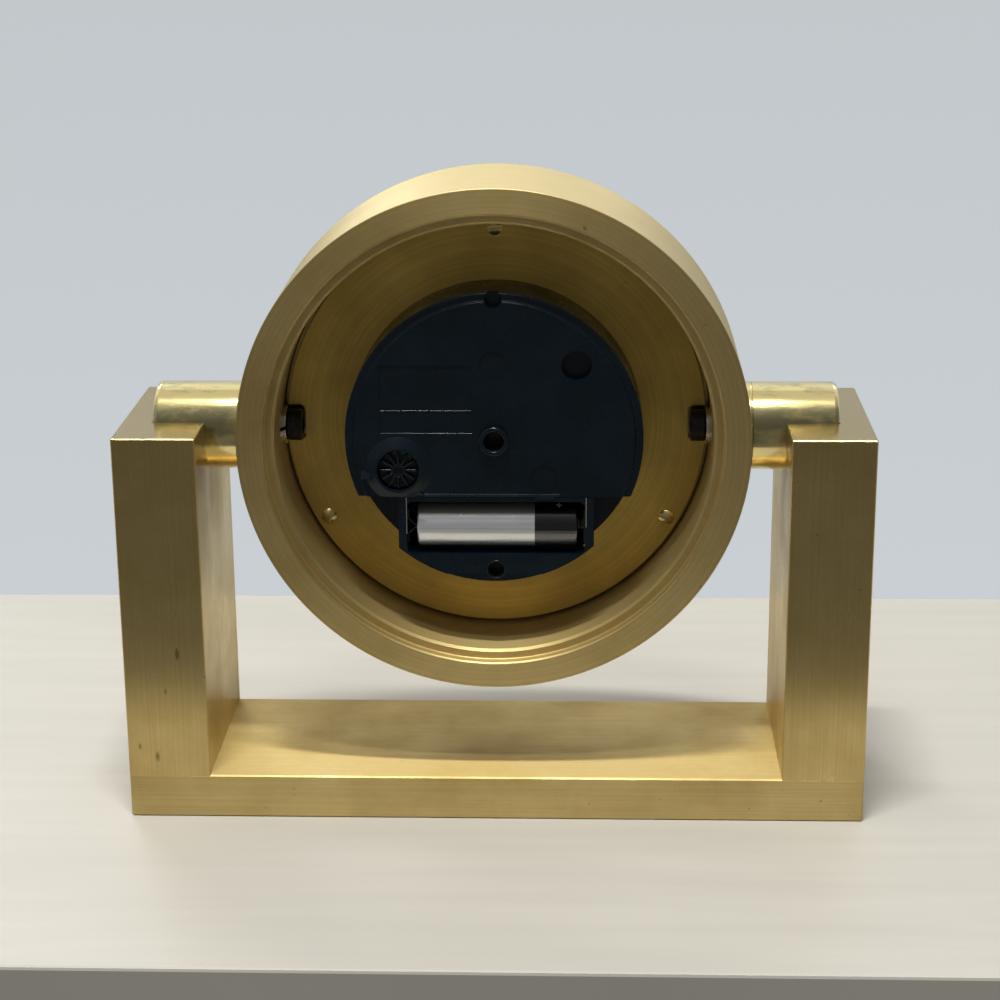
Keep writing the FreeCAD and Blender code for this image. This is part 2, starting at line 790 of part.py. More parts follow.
def second_hand():
    half = second_hand_width / 2
    outline = [(-half * 1.8, -second_hand_tail), (half * 1.8, -second_hand_tail),
               (half, 0), (half * 0.5, second_hand_length), (-half * 0.5, second_hand_length), (-half, 0)]
    return hand(outline, arbor_radius, arbor_radius + 2.0, second_hand_depth, second_hand_angle)


NODES = {
    "base_bar": base_bar,
    "right_post": right_post,
    "left_post": lambda: half_turn(right_post()),
    "drum_case": drum_case,
    "trunnion_shafts": trunnion_shafts,
    "trunnion_screws": trunnion_screws,
    "lock_washers": lock_washers,
    "dial_plate": dial_plate,
    "plate_screws": plate_screws,
    "dial_face": dial_face,
    "hour_markers": hour_markers,
    "glass": glass,
    "dial_surround": dial_surround,
    "movement_base": movement_base,
    "movement_cover": movement_cover,
    "centre_nut": centre_nut,
    "set_knob": set_knob,
    "battery": battery,
    "negative_contact": negative_contact,
    "positive_contact": positive_contact,
    "seconds_arbor": seconds_arbor,
    "cannon_pinion": cannon_pinion,
    "motion_wheel": motion_wheel,
    "hour_wheel": hour_wheel,
    "date_wheel": date_wheel,
    "date_ring": date_ring,
    "date_jumper": date_jumper,
    "hour_hand": hour_hand,
    "minute_hand": minute_hand,
    "second_hand": second_hand,
}


def main():
    os.makedirs("parts", exist_ok=True)
    for node, build in NODES.items():
        shape = build()
        save(node, shape)
        print(node, "solids", len(shape.Solids), "valid", shape.isValid(), "mm3", round(shape.Volume, 2))


main()
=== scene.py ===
import json
import math

import bpy
from bpy.props import FloatProperty, FloatVectorProperty, IntProperty, PointerProperty
from mathutils import Matrix, Vector


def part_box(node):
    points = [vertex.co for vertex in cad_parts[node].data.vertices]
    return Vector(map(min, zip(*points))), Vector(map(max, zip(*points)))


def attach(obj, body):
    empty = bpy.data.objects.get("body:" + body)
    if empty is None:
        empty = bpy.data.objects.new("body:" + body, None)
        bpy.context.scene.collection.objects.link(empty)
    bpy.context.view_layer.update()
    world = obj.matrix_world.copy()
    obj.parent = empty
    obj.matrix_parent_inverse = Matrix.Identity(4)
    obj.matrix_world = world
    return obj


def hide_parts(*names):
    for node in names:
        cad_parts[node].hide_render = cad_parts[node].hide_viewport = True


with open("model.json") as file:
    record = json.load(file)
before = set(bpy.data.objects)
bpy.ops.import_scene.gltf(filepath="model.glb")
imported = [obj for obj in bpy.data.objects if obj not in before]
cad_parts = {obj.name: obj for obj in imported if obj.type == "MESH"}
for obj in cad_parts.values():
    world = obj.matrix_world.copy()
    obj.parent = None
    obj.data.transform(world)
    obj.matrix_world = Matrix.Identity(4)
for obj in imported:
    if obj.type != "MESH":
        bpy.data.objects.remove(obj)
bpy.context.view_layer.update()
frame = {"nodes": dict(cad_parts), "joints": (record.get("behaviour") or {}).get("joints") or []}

bl_info = {
    "name": "Swivel Desk Clock",
    "version": (1, 0, 0),
    "blender": (4, 5, 0),
    "location": "View3D > Sidebar > Clock",
    "description": "Dresses the solids of a swivelling brass desk clock with finished pieces",
    "category": "Add Mesh",
}

# Sizes and places of the pieces are plain numbers in millimetres. A Vector from seen(), the places on the
# stage and the depths of a material's bumps are in metres.
MM = 0.001
REAR_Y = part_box("drum_case")[1].y
PIVOT = Vector(next(joint["pos_m"] for joint in frame["joints"] if joint["name"] == "drum_tilt"))
INWARD = Vector((0, -1, 0))
UPWARD = Vector((0, 0, 1))


def seen(right, up, depth=0.0):
    """Place seen from behind: millimetres right of the drum's axis, above it, and in from its rear rim."""
    return Vector((-right * MM, REAR_Y - depth * MM, PIVOT.z + up * MM))


def radius_of(node):
    """Radius of a round solid on the drum's axis, in millimetres."""
    return (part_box(node)[1].z - PIVOT.z) / MM


def depths_of(node):
    """Depths of a solid's rear and front, in millimetres in from the drum's rear rim."""
    low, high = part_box(node)
    return (REAR_Y - high.y) / MM, (REAR_Y - low.y) / MM


DRUM_RADIUS = radius_of("drum_case")
DRUM_LENGTH = depths_of("drum_case")[1]
PLATE_RADIUS = radius_of("dial_plate")
PLATE_REAR, PLATE_FRONT = depths_of("dial_plate")
GLASS_REAR, GLASS_FRONT = depths_of("glass")
COVER_RADIUS = radius_of("movement_cover")
COVER_REAR = depths_of("movement_base")[0]
COVER_FRONT = depths_of("movement_cover")[1]
BOSS_REAR = depths_of("movement_cover")[0]
DIAL_FRONT = depths_of("dial_face")[1]
DATE_FRONT = depths_of("date_ring")[1]
POST_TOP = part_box("right_post")[1].z
REAR_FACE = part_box("right_post")[1].y
SHAFT_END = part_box("trunnion_shafts")[1].x / MM
SHAFT_RADIUS = radius_of("trunnion_shafts")
BORE = PLATE_RADIUS + 1.3
# Clearance left round a piece that sits in, on or against another.
FIT = 0.05


# ---- bench work: the modelling steps that every piece is made with -----------
EDGE_SHARE = 0.45
FLAT_STRETCH = 1.1
NEARLY_STRAIGHT = math.radians(170)


def clear_bench():
    """Leaves object mode on and nothing selected, because an operator acts on all that is selected."""
    if bpy.context.mode != "OBJECT":
        bpy.ops.object.mode_set(mode="OBJECT")
    bpy.ops.object.select_all(action="DESELECT")


def take(piece):
    clear_bench()
    piece.select_set(True)
    bpy.context.view_layer.objects.active = piece
    return piece


def edit(piece):
    take(piece)
    bpy.ops.object.mode_set(mode="EDIT")
    bpy.ops.mesh.select_all(action="SELECT")


def name_piece(name):
    piece = bpy.context.object
    piece.name = name
    piece.data.name = name
    return piece


def rounded(outline, radius, steps=3, ends=True):
    """The same outline with an arc in each corner, held flat on both sides; without ends those two stay."""
    points = [Vector(point) for point in outline]
    result = []
    for i, corner in enumerate(points):
        if not ends and i in (0, len(points) - 1):
            result.append(corner)
            continue
        before = points[i - 1] - corner
        after = points[(i + 1) % len(points)] - corner
        turn_angle = before.angle(after)
        if turn_angle > NEARLY_STRAIGHT:
            result.append(corner)
            continue
        half = math.tan(turn_angle / 2)
        reach = min(radius / half, before.length * EDGE_SHARE, after.length * EDGE_SHARE)
        bow = reach * half
        middle = corner + (before.normalized() + after.normalized()).normalized() * math.hypot(reach, bow)
        start = corner + before.normalized() * reach - middle
        end = corner + after.normalized() * reach - middle
        result.append(corner + before.normalized() * reach * FLAT_STRETCH)
        for k in range(steps + 1):
            way = start.lerp(end, k / steps)
            result.append(middle + way.normalized() * bow)
        result.append(corner + after.normalized() * reach * FLAT_STRETCH)
    return result


def polar(radius, bearing):
    """Right and up of a place round the drum's axis, at a bearing in degrees seen from behind."""
    angle = math.radians(bearing)
    return radius * math.cos(angle), radius * math.sin(angle)


def arc(radius, first, last, steps):
    """Places along an arc round the drum's axis, between two bearings in degrees."""
    return [polar(radius, first + (last - first) * i / steps) for i in range(steps + 1)]


def draw_line(name, places):
    """Line drawn place by place by extruding one vertex; it stays open in edit mode."""
    clear_bench()
    bpy.ops.mesh.primitive_plane_add(size=MM)
    piece = name_piece(name)
    bpy.ops.object.mode_set(mode="EDIT")
    bpy.ops.mesh.select_all(action="SELECT")
    bpy.ops.mesh.merge(type="CENTER")
    bpy.ops.transform.translate(value=places[0])
    for here, there in zip(places, places[1:]):
        bpy.ops.mesh.extrude_vertices_move(TRANSFORM_OT_translate={"value": there - here})
    bpy.ops.mesh.select_all(action="SELECT")
    return piece


def close_shell():
    """Merges doubled places, points every face outwards and leaves edit mode."""
    bpy.ops.mesh.select_all(action="SELECT")
    bpy.ops.mesh.remove_doubles(threshold=1e-7)
    bpy.ops.mesh.normals_make_consistent(inside=False)
    bpy.ops.object.mode_set(mode="OBJECT")


def turn(name, profile, centre, along, steps=128):
    """Turned piece; the profile holds radius and distance along the axis, in millimetres."""
    along = Vector(along)
    outline = [centre + (UPWARD * radius + along * reach) * MM for radius, reach in profile]
    if profile[0][0] > 0 or profile[-1][0] > 0:
        outline.append(outline[0])
    piece = draw_line(name, outline)
    bpy.ops.mesh.spin(steps=steps, angle=math.tau, center=centre, axis=along)
    close_shell()
    return piece


def stamp(name, outline, depth_from, depth_to):
    """Flat piece cut to an outline of right and up, from one depth to another."""
    piece = draw_line(name, [seen(right, up, depth_from) for right, up in outline])
    bpy.ops.mesh.edge_face_add()
    thickness = INWARD * (depth_to - depth_from) * MM
    bpy.ops.mesh.extrude_region_move(TRANSFORM_OT_translate={"value": thickness})
    close_shell()
    return piece


def peg(name, start, along, radius, length, steps=64):
    """Plain cylinder from a place along a direction; radius and length are in millimetres."""
    clear_bench()
    along = Vector(along)
    bpy.ops.mesh.primitive_cylinder_add(
        vertices=steps, radius=radius * MM, depth=length * MM,
        location=start + along * length * MM / 2, rotation=along.to_track_quat("Z", "Y").to_euler())
    bpy.ops.object.transform_apply(location=True, rotation=True, scale=True)
    return name_piece(name)


def brick(name, low, high):
    """Plain block between two corners."""
    clear_bench()
    bpy.ops.mesh.primitive_cube_add(size=1, location=(low + high) / 2, scale=high - low)
    bpy.ops.object.transform_apply(location=True, rotation=True, scale=True)
    return name_piece(name)


def brick_seen(name, left, right, bottom, top, depth_from, depth_to):
    """Plain block placed as seen from behind the drum, in millimetres."""
    near, far = seen(right, bottom, depth_to), seen(left, top, depth_from)
    return brick(name, near, far)


def carve(piece, *tools):
    """Cuts the tools out of the piece one after the other and uses them up."""
    for tool in tools:
        take(piece)
        bpy.ops.object.modifier_add(type="BOOLEAN")
        cut = piece.modifiers[-1]
        cut.operation = "DIFFERENCE"
        cut.solver = "EXACT"
        cut.object = tool
        bpy.ops.object.modifier_apply(modifier=cut.name)
        bpy.data.objects.remove(tool)
    return piece


def break_edges(piece, width, segments=2, angle=35):
    """Bevels every edge that turns by more than an angle in degrees; the width is in millimetres."""
    take(piece)
    bpy.ops.object.modifier_add(type="BEVEL")
    bevel = piece.modifiers[-1]
    bevel.width = width * MM
    bevel.segments = segments
    bevel.limit_method = "ANGLE"
    bevel.angle_limit = math.radians(angle)
    bpy.ops.object.modifier_apply(modifier=bevel.name)
    return piece


def smooth(piece, angle=32):
    take(piece)
    bpy.ops.object.shade_smooth_by_angle(angle=math.radians(angle))
    return piece


def turn_about(piece, centre, axis, degrees):
    """Turns the piece's mesh right-handed about an axis through a place; its object stays at the origin."""
    edit(piece)
    # With no window the rotate operator turns the other way, hence the sign.
    bpy.ops.transform.rotate(value=-math.radians(degrees), orient_axis=axis, center_override=centre)
    bpy.ops.object.mode_set(mode="OBJECT")
    return piece


def copy_of(piece, name):
    take(piece)
    bpy.ops.object.duplicate(linked=False)
    return name_piece(name)


def weld(name, pieces):
    """Several pieces made into one object."""
    clear_bench()
    for piece in pieces:
        piece.select_set(True)
    bpy.context.view_layer.objects.active = pieces[0]
    bpy.ops.object.join()
    return name_piece(name)


def repeat_round(piece, count, centre, axis):
    """Repeats the piece's mesh all the way round an axis."""
    edit(piece)
    bpy.ops.mesh.spin(steps=count, dupli=True, angle=math.tau, center=centre, axis=axis)
    close_shell()
    return piece


def finish_piece(piece, body, slot, material, *replaced):
    """Gives a piece its finish, the body that it moves with and the solids that it stands for; the slot is
    not used.
    """
    piece.data.materials.clear()
    piece.data.materials.append(material)
    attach(piece, body)
    if replaced:
        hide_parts(*replaced)
    return piece


def dress_node(node, material):
    """Gives a solid of the frame its finish without touching its shape."""
    solid = frame["nodes"][node]
    if not solid.material_slots:
        solid.data.materials.append(material)
    for place in solid.material_slots:
        place.material = material


# ---- finishes ----------------------------------------------------------------
BRUSHED_STRETCH = 0.8
TURNED_STRETCH = 0.5
QUARTER_TURN = 0.25
CLOUD_SCALE = 28.0
SPECK_SCALE = 420.0
END_ROUGHNESS = 0.15
# Depths below a bar's end over which the painted shade on its top end sets in.
END_SHADE_SKIN = (0.10, 0.04)
DENT_SHAPE = Vector((1.0, 1.0, 0.4))
# Heights above the shafts' axis over which the band of painted reflection, of the posts' dark tops, sets in,
# from above and from below.
REFLECTION_BAND_TOP = (9.5, 8.0)
REFLECTION_BAND_LOW = (-3.0, 1.0)
PATINA_AND_REFLECTION = (0.35, 0.33, 0.17)
MOULD_GRAIN = 3200.0
MOULD_DEPTH = 0.000005


class Finish:
    """One node material; its methods add nodes and hand back the sockets they feed from."""

    def __init__(self, name, colour, metallic, roughness):
        self.material = bpy.data.materials.new(name)
        self.material.use_nodes = True
        self.tree = self.material.node_tree
        self.shader = self.tree.nodes["Principled BSDF"]
        self.set("Base Color", (*colour, 1.0))
        self.set("Metallic", metallic)
        self.set("Roughness", roughness)
        self.where = self.add("ShaderNodeTexCoord").outputs["Object"]

    def set(self, socket, value):
        self.shader.inputs[socket].default_value = value

    def feed(self, socket, source):
        self.tree.links.new(source, self.shader.inputs[socket])

    def add(self, kind, inputs=None, **settings):
        node = self.tree.nodes.new(kind)
        for key, value in settings.items():
            setattr(node, key, value)
        for key, value in (inputs or {}).items():
            if isinstance(value, bpy.types.NodeSocket):
                self.tree.links.new(value, node.inputs[key])
            else:
                node.inputs[key].default_value = value
        return node

    def stretched(self, scale):
        """Place on the piece with each axis scaled, so that a pattern comes out longer along one of them."""
        return self.add("ShaderNodeMapping", {"Vector": self.where, "Scale": scale}).outputs["Vector"]

    def noise(self, where, scale, detail, roughness):
        return self.add("ShaderNodeTexNoise", {"Vector": where, "Scale": scale, "Detail": detail,
                                               "Roughness": roughness}).outputs["Fac"]

    def maths(self, operation, first, second=0.0):
        return self.add("ShaderNodeMath", {0: first, 1: second}, operation=operation).outputs["Value"]

    def part(self, where, axis):
        return self.add("ShaderNodeSeparateXYZ", {"Vector": where}).outputs[axis]

    def span(self, value, low, high, to_low=0.0, to_high=1.0):
        """Runs from one value to another while the input runs from low to high, and stays there beyond."""
        return self.add("ShaderNodeMapRange", {"Value": value, "From Min": low, "From Max": high,
                                               "To Min": to_low, "To Max": to_high}).outputs["Result"]

    def blend(self, share, first, second):
        """Mixes two colours; the share, like each of them, is a socket or a plain value."""
        node = self.add("ShaderNodeMix", data_type="RGBA")
        for socket, value in ((node.inputs[0], share), (node.inputs[6], first), (node.inputs[7], second)):
            if isinstance(value, bpy.types.NodeSocket):
                self.tree.links.new(value, socket)
            elif isinstance(value, float):
                socket.default_value = value
            else:
                socket.default_value = (*value[:3], 1.0)
        return node.outputs[2]

    def bump(self, height, distance, strength):
        node = self.add("ShaderNodeBump", {"Height": height, "Distance": distance, "Strength": strength})
        self.feed("Normal", node.outputs["Normal"])

    def brush(self, amount, tangent):
        """Stretches highlights across fine lines that run along a direction."""
        self.set("Anisotropic", amount)
        self.set("Anisotropic Rotation", QUARTER_TURN)
        self.feed("Tangent", tangent)

    def along(self, direction):
        parts = dict(zip("XYZ", direction))
        return self.add("ShaderNodeCombineXYZ", parts).outputs["Vector"]

    def round_axis(self, axis):
        return self.add("ShaderNodeTangent", direction_type="RADIAL", axis=axis).outputs["Tangent"]

    def turned_place(self, centre, axis):
        """Radius from an axis and distance along it, for marks left by turning."""
        local = self.add("ShaderNodeVectorMath", {0: self.where, 1: centre}, operation="SUBTRACT")
        parts = self.add("ShaderNodeSeparateXYZ", {"Vector": local.outputs["Vector"]}).outputs
        squares = [self.maths("POWER", parts[letter], 2.0) for letter in "XYZ" if letter != axis]
        radius = self.maths("SQRT", self.maths("ADD", *squares))
        return self.add("ShaderNodeCombineXYZ", {"X": radius, "Y": parts[axis]}).outputs["Vector"]


def toned(colour, share):
    """The colour made darker, or lighter where the share is over one."""
    return tuple(channel * share for channel in colour)


def add_clouds(finish, colour, tarnish, roughness, lines, duller=0.0):
    """Brass with cloudy tarnish, worn streaks and a few dark specks over fine machining lines."""
    clouds = finish.noise(finish.where, CLOUD_SCALE, 5.0, 0.6)
    tone = finish.blend(finish.span(clouds, 0.38, 0.68), colour, tarnish)
    tone = finish.blend(finish.span(lines, 0.3, 0.7, 0.0, 0.35), tone, toned(tarnish, 0.72))
    specks = finish.noise(finish.where, SPECK_SCALE, 2.0, 0.5)
    tone = finish.blend(finish.span(specks, 0.74, 0.80, 0.0, 0.55), tone, toned(tarnish, 0.28))
    finish.feed("Base Color", tone)
    rough = finish.maths("ADD", finish.span(clouds, 0.3, 0.7, *roughness), duller)
    rough = finish.maths("ADD", rough, finish.span(lines, 0.2, 0.8, -0.05, 0.05))
    finish.feed("Roughness", rough)
    return tone, rough


def brushed_brass(name, colours, grain, roughness, shaded_top_height=None, dents=()):
    """Bar stock drawn along the axis of its coarsest grain, with its upper end painted darker as painted
    shade, and small dents.
    """
    finish = Finish(name, colours.brass, 1.0, 0.3)
    lines = finish.noise(finish.stretched(grain), 1.0, 4.0, 0.7)
    tone, rough = add_clouds(finish, colours.brass, colours.tarnish, roughness, lines)
    if shaded_top_height:
        skin_low, skin_high = (shaded_top_height - skin * MM for skin in END_SHADE_SKIN)
        # Painted shade: the top end is painted darker, towards the tarnish colour, and is also made less
        # rough.
        end = finish.span(finish.part(finish.where, "Z"), skin_low, skin_high, 0.0, 0.85)
        tone = finish.blend(end, tone, toned(colours.tarnish, 0.85))
        shine = finish.maths("MULTIPLY", end, finish.maths("SUBTRACT", END_ROUGHNESS, rough))
        finish.feed("Roughness", finish.maths("ADD", rough, shine))
    for centre, size in dents:
        away = finish.add("ShaderNodeVectorMath", {0: finish.stretched(DENT_SHAPE), 1: centre * DENT_SHAPE},
                          operation="DISTANCE")
        wander = finish.span(lines, 0.2, 0.8, -0.3 * MM, 0.3 * MM)
        ragged = finish.maths("ADD", away.outputs["Value"], wander)
        dent = finish.span(ragged, size * MM, size * 0.4 * MM, 0.0, 0.65)
        tone = finish.blend(dent, tone, toned(colours.tarnish, 0.25))
    finish.feed("Base Color", tone)
    finish.bump(lines, 0.00003, 0.35)
    direction = [1.0 if scale == min(grain) else 0.0 for scale in grain]
    finish.brush(BRUSHED_STRETCH, finish.along(direction))
    return finish.material


def turned_brass(name, colour, tarnish, roughness, lathe_marks=2600.0, dull_inside=0.0, outside=None,
                 sheen_colour=None):
    """Brass turned on the drum's axis, duller inside one radius and, outside another, recoloured paler as a
    painted sheen.
    """
    finish = Finish(name, colour, 1.0, 0.3)
    finish.brush(TURNED_STRETCH, finish.round_axis("Y"))
    place = finish.turned_place(PIVOT, "Y")
    lines = finish.noise(place, lathe_marks, 3.0, 0.6)
    radius = finish.part(place, "X")
    inside = finish.span(radius, (dull_inside + 0.6) * MM, (dull_inside + 0.4) * MM, 0.0, 0.04)
    tone, _ = add_clouds(finish, colour, tarnish, roughness, lines, inside)
    if outside:
        # Painted sheen: outside the given radius the colour is made paler, standing in for the whiter
        # highlights on the drum's outside.
        rubbed = finish.span(radius, (outside - 0.15) * MM, (outside - 0.05) * MM, 0.0, 0.75)
        finish.feed("Base Color", finish.blend(rubbed, tone, sheen_colour))
    finish.bump(lines, 0.00005, 0.3)
    return finish.material


def polished_brass(name, colour):
    """Shafts buffed and lacquered on their own axis, with patches of patina and a darker band along them that
    is painted reflection of the posts' tops.
    """
    finish = Finish(name, colour, 1.0, 0.1)
    finish.set("Coat Weight", 0.4)
    finish.set("Coat Roughness", 0.09)
    lines = finish.noise(finish.turned_place(PIVOT, "X"), 1800.0, 2.0, 0.5)
    smears = finish.noise(finish.where, 60.0, 4.0, 0.6)
    patches = finish.noise(finish.stretched((90.0, 210.0, 210.0)), 1.0, 6.0, 0.65)
    finish.feed("Roughness", finish.maths("ADD", finish.span(smears, 0.3, 0.75, 0.10, 0.18),
                                          finish.span(patches, 0.5, 0.66, 0.0, 0.08)))
    tone = finish.blend(finish.span(smears, 0.45, 0.8), colour, toned(colour, 0.82))
    height = finish.part(finish.where, "Z")
    # Painted reflection: from about the axis to 8 mm above it the patina is made heavier, standing in for the
    # posts' dark tops mirrored in the shafts.
    upper, lower = (finish.span(height, *(PIVOT.z + up * MM for up in edge))
                    for edge in (REFLECTION_BAND_TOP, REFLECTION_BAND_LOW))
    band = finish.span(finish.maths("MULTIPLY", upper, lower), 0.0, 1.0, 0.0, 0.16)
    mottle = finish.span(finish.maths("ADD", patches, band), 0.5, 0.66, 0.0, 0.8)
    finish.feed("Base Color", finish.blend(mottle, tone, PATINA_AND_REFLECTION))
    finish.bump(lines, 0.00001, 0.15)
    return finish.material


def black_steel(name, colour):
    finish = Finish(name, colour, 0.7, 0.38)
    wear = finish.noise(finish.where, 900.0, 3.0, 0.6)
    finish.feed("Roughness", finish.span(wear, 0.3, 0.7, 0.3, 0.5))
    finish.feed("Base Color", finish.blend(finish.span(wear, 0.55, 0.8), colour, (0.07, 0.06, 0.055)))
    finish.bump(wear, 0.00002, 0.3)
    return finish.material


def bright_steel(name, colour, roughness):
    finish = Finish(name, colour, 1.0, roughness)
    wear = finish.noise(finish.where, 700.0, 3.0, 0.6)
    finish.feed("Roughness", finish.span(wear, 0.3, 0.7, roughness - 0.08, roughness + 0.1))
    finish.feed("Base Color", finish.blend(finish.span(wear, 0.5, 0.75), colour, toned(colour, 0.6)))
    finish.bump(wear, 0.00001, 0.3)
    return finish.material


def moulded_plastic(name, colour, roughness):
    """Injection moulding with a fine spark-eroded grain and faint handling marks."""
    finish = Finish(name, colour, 0.0, roughness)
    finish.set("Specular IOR Level", 0.32)
    grains = finish.noise(finish.where, MOULD_GRAIN, 2.0, 0.5)
    marks = finish.noise(finish.where, 70.0, 4.0, 0.65)
    finish.feed("Roughness", finish.span(marks, 0.3, 0.7, roughness - 0.08, roughness + 0.1))
    tone = finish.blend(finish.span(marks, 0.35, 0.75, 0.0, 0.6), colour, toned(colour, 1.6))
    dust = finish.span(finish.noise(finish.where, 1500.0, 1.0, 0.5), 0.76, 0.82, 0.0, 0.3)
    finish.feed("Base Color", finish.blend(dust, tone, (0.08, 0.09, 0.09)))
    finish.bump(grains, MOULD_DEPTH, 0.5)
    return finish.material


def enamel(name, colour):
    """Matt dial enamel over a fine sprayed texture."""
    finish = Finish(name, colour, 0.0, 0.55)
    spray = finish.noise(finish.where, 2600.0, 2.0, 0.5)
    shade = finish.span(finish.noise(finish.where, 22.0, 3.0, 0.5), 0.3, 0.7, 0.0, 0.5)
    finish.feed("Base Color", finish.blend(shade, colour, toned(colour, 0.93)))
    finish.feed("Roughness", finish.span(spray, 0.3, 0.7, 0.48, 0.62))
    finish.bump(spray, 0.00001, 0.3)
    return finish.material


def lacquer(name, colour):
    finish = Finish(name, colour, 0.0, 0.3)
    wave = finish.noise(finish.where, 300.0, 2.0, 0.5)
    finish.feed("Roughness", finish.span(wave, 0.3, 0.7, 0.22, 0.36))
    worn = finish.span(wave, 0.3, 0.7, 0.0, 0.5)
    finish.feed("Base Color", finish.blend(worn, colour, toned(colour, 1.8)))
    return finish.material


def clear_glass(name, colour):
    finish = Finish(name, colour, 0.0, 0.03)
    finish.set("Alpha", 0.10)
    finish.set("IOR", 1.5)
    smears = finish.noise(finish.where, 40.0, 3.0, 0.6)
    finish.feed("Roughness", finish.span(smears, 0.35, 0.75, 0.02, 0.09))
    return finish.material


# ---- values that a user would change -----------------------------------------
class ClockSizes(bpy.types.PropertyGroup):
    turning_steps: IntProperty(name="Turning steps", description="Flats round the large turned pieces",
                               default=256, min=48, max=512)
    edge_radius: FloatProperty(name="Edge radius", description="Radius of the drum's turned edges, in mm",
                               default=0.3, min=0.05, max=1.0)
    knurl_count: IntProperty(name="Knurls", description="Knurls round each cap screw head", default=40,
                             min=12, max=80)
    knob_ribs: IntProperty(name="Knob ribs", description="Ribs on the face of the setting knob", default=12,
                           min=6, max=24)
    numeral_height: FloatProperty(name="Numeral height", description="Height of the dial numerals, in mm",
                                  default=8.4, min=3.0, max=12.0)
    cover_step: FloatProperty(name="Cover step", description="Width of the step round the cover, in mm",
                              default=2.65, min=1.0, max=5.0)


class ClockColours(bpy.types.PropertyGroup):
    brass: FloatVectorProperty(name="Brass", description="Bare brass of the stand", subtype="COLOR", size=3,
                               default=(0.67, 0.515, 0.225))
    tarnish: FloatVectorProperty(name="Tarnish", description="Tarnished brass", subtype="COLOR", size=3,
                                 default=(0.51, 0.375, 0.145))
    polish: FloatVectorProperty(name="Polish", description="Polished brass of the shafts", subtype="COLOR",
                                size=3, default=(0.82, 0.68, 0.31))
    # Painted sheen: paler colour for the drum's outside, standing in for its whiter highlights.
    rubbed: FloatVectorProperty(name="Sheen", description="Paler brass round the outside of the drum",
                                subtype="COLOR", size=3, default=(0.60, 0.505, 0.285))
    plate: FloatVectorProperty(name="Plate", description="Aged brass of the dial plate", subtype="COLOR",
                               size=3, default=(0.82, 0.57, 0.15))
    housing: FloatVectorProperty(name="Housing", description="Moulded housing of the movement",
                                 subtype="COLOR", size=3, default=(0.0015, 0.0060, 0.0105))
    dial: FloatVectorProperty(name="Dial", description="Dial enamel", subtype="COLOR", size=3,
                              default=(0.80, 0.77, 0.69))
    ink: FloatVectorProperty(name="Ink", description="Printed figures and lacquered hands", subtype="COLOR",
                             size=3, default=(0.012, 0.012, 0.014))


class StudioValues(bpy.types.PropertyGroup):
    table: FloatVectorProperty(name="Table", description="Colour of the table top", subtype="COLOR", size=3,
                               default=(0.59, 0.56, 0.495))
    wall: FloatVectorProperty(name="Wall", description="Colour of the backdrop", subtype="COLOR", size=3,
                              default=(0.53, 0.565, 0.585))
    key_power: FloatProperty(name="Key light", description="Power of the overhead light", default=13.4,
                             min=0.0, unit="POWER")
    fill_power: FloatProperty(name="Dial light", description="Power of the stronger light on the dial's side",
                              default=5.0, min=0.0, unit="POWER")
    room: FloatProperty(name="Room", description="Strength of the room light from the camera's side",
                        default=0.15, min=0.0, max=1.0)


# ---- stage -------------------------------------------------------------------
CAMERA_PLACE = Vector((-0.027363, 0.679969, 0.304370))
CAMERA_YAW = 0.03866
CAMERA_PITCH = -0.29912
CAMERA_ROLL = 0.00802
CAMERA_LENS = 81.6636
CAMERA_SENSOR = 36.0
CAMERA_NEAREST = 0.01
TABLE_LOW, TABLE_HIGH = Vector((-1.4, -0.176, -0.03)), Vector((1.4, 0.129, 0.0))
WALL_LOW, WALL_HIGH = Vector((-4.0, -1.6, -3.0)), Vector((4.0, -1.55, 3.0))
# Heights in metres over which the backdrop's glow is painted lighter low down and almost white towards the
# top, as painted light.
WALL_FADE_LOW, WALL_FADE_HIGH = (-0.6, 0.3), (0.3, 1.5)
PAINTED_LIGHT_UPPER_WALL = (0.95, 0.98, 1.0)
STAND_AIM, DRUM_AIM = Vector((0.0, 0.0, 0.05)), Vector((0.0, 0.0, 0.12))
KEY_PLACE = Vector((0.05, 0.30, 1.41))
KEY_SIZE = (0.34, 0.06)
KEY_COLOUR = (0.985, 1.0, 0.985)
RIM_PLACE = Vector((0.05, 0.53, 1.35))
RIM_SHARE = 0.22
DIAL_LIGHTS = {"dial_light_left": (Vector((0.72, -1.25, 1.05)), 1.0),
               "dial_light_right": (Vector((-0.62, -1.25, 1.05)), 0.3)}
DIAL_LIGHT_SIZE = (0.5, 0.5)
DIAL_LIGHT_COLOUR = (1.0, 1.0, 1.0)
ROOM_BRIGHT_SIDE = (0.28, -0.57, 0.77)
ROOM_BRIGHT_SHARE = 4.6
ROOM_FADE = (-0.35, 0.95)
ROOM_COLOUR = (1.0, 0.985, 0.96)


def stage_camera():
    bpy.ops.object.camera_add()
    camera = name_piece("camera")
    facing = Matrix.Rotation(math.pi + CAMERA_YAW, 4, "Z") @ Matrix.Rotation(CAMERA_PITCH, 4, "X")
    facing = facing @ Matrix.Rotation(CAMERA_ROLL, 4, "Y") @ Matrix.Rotation(math.pi / 2, 4, "X")
    camera.matrix_world = Matrix.Translation(CAMERA_PLACE) @ facing
    camera.data.sensor_width = CAMERA_SENSOR
    camera.data.lens = CAMERA_LENS
    camera.data.clip_start = CAMERA_NEAREST
    bpy.context.scene.camera = camera


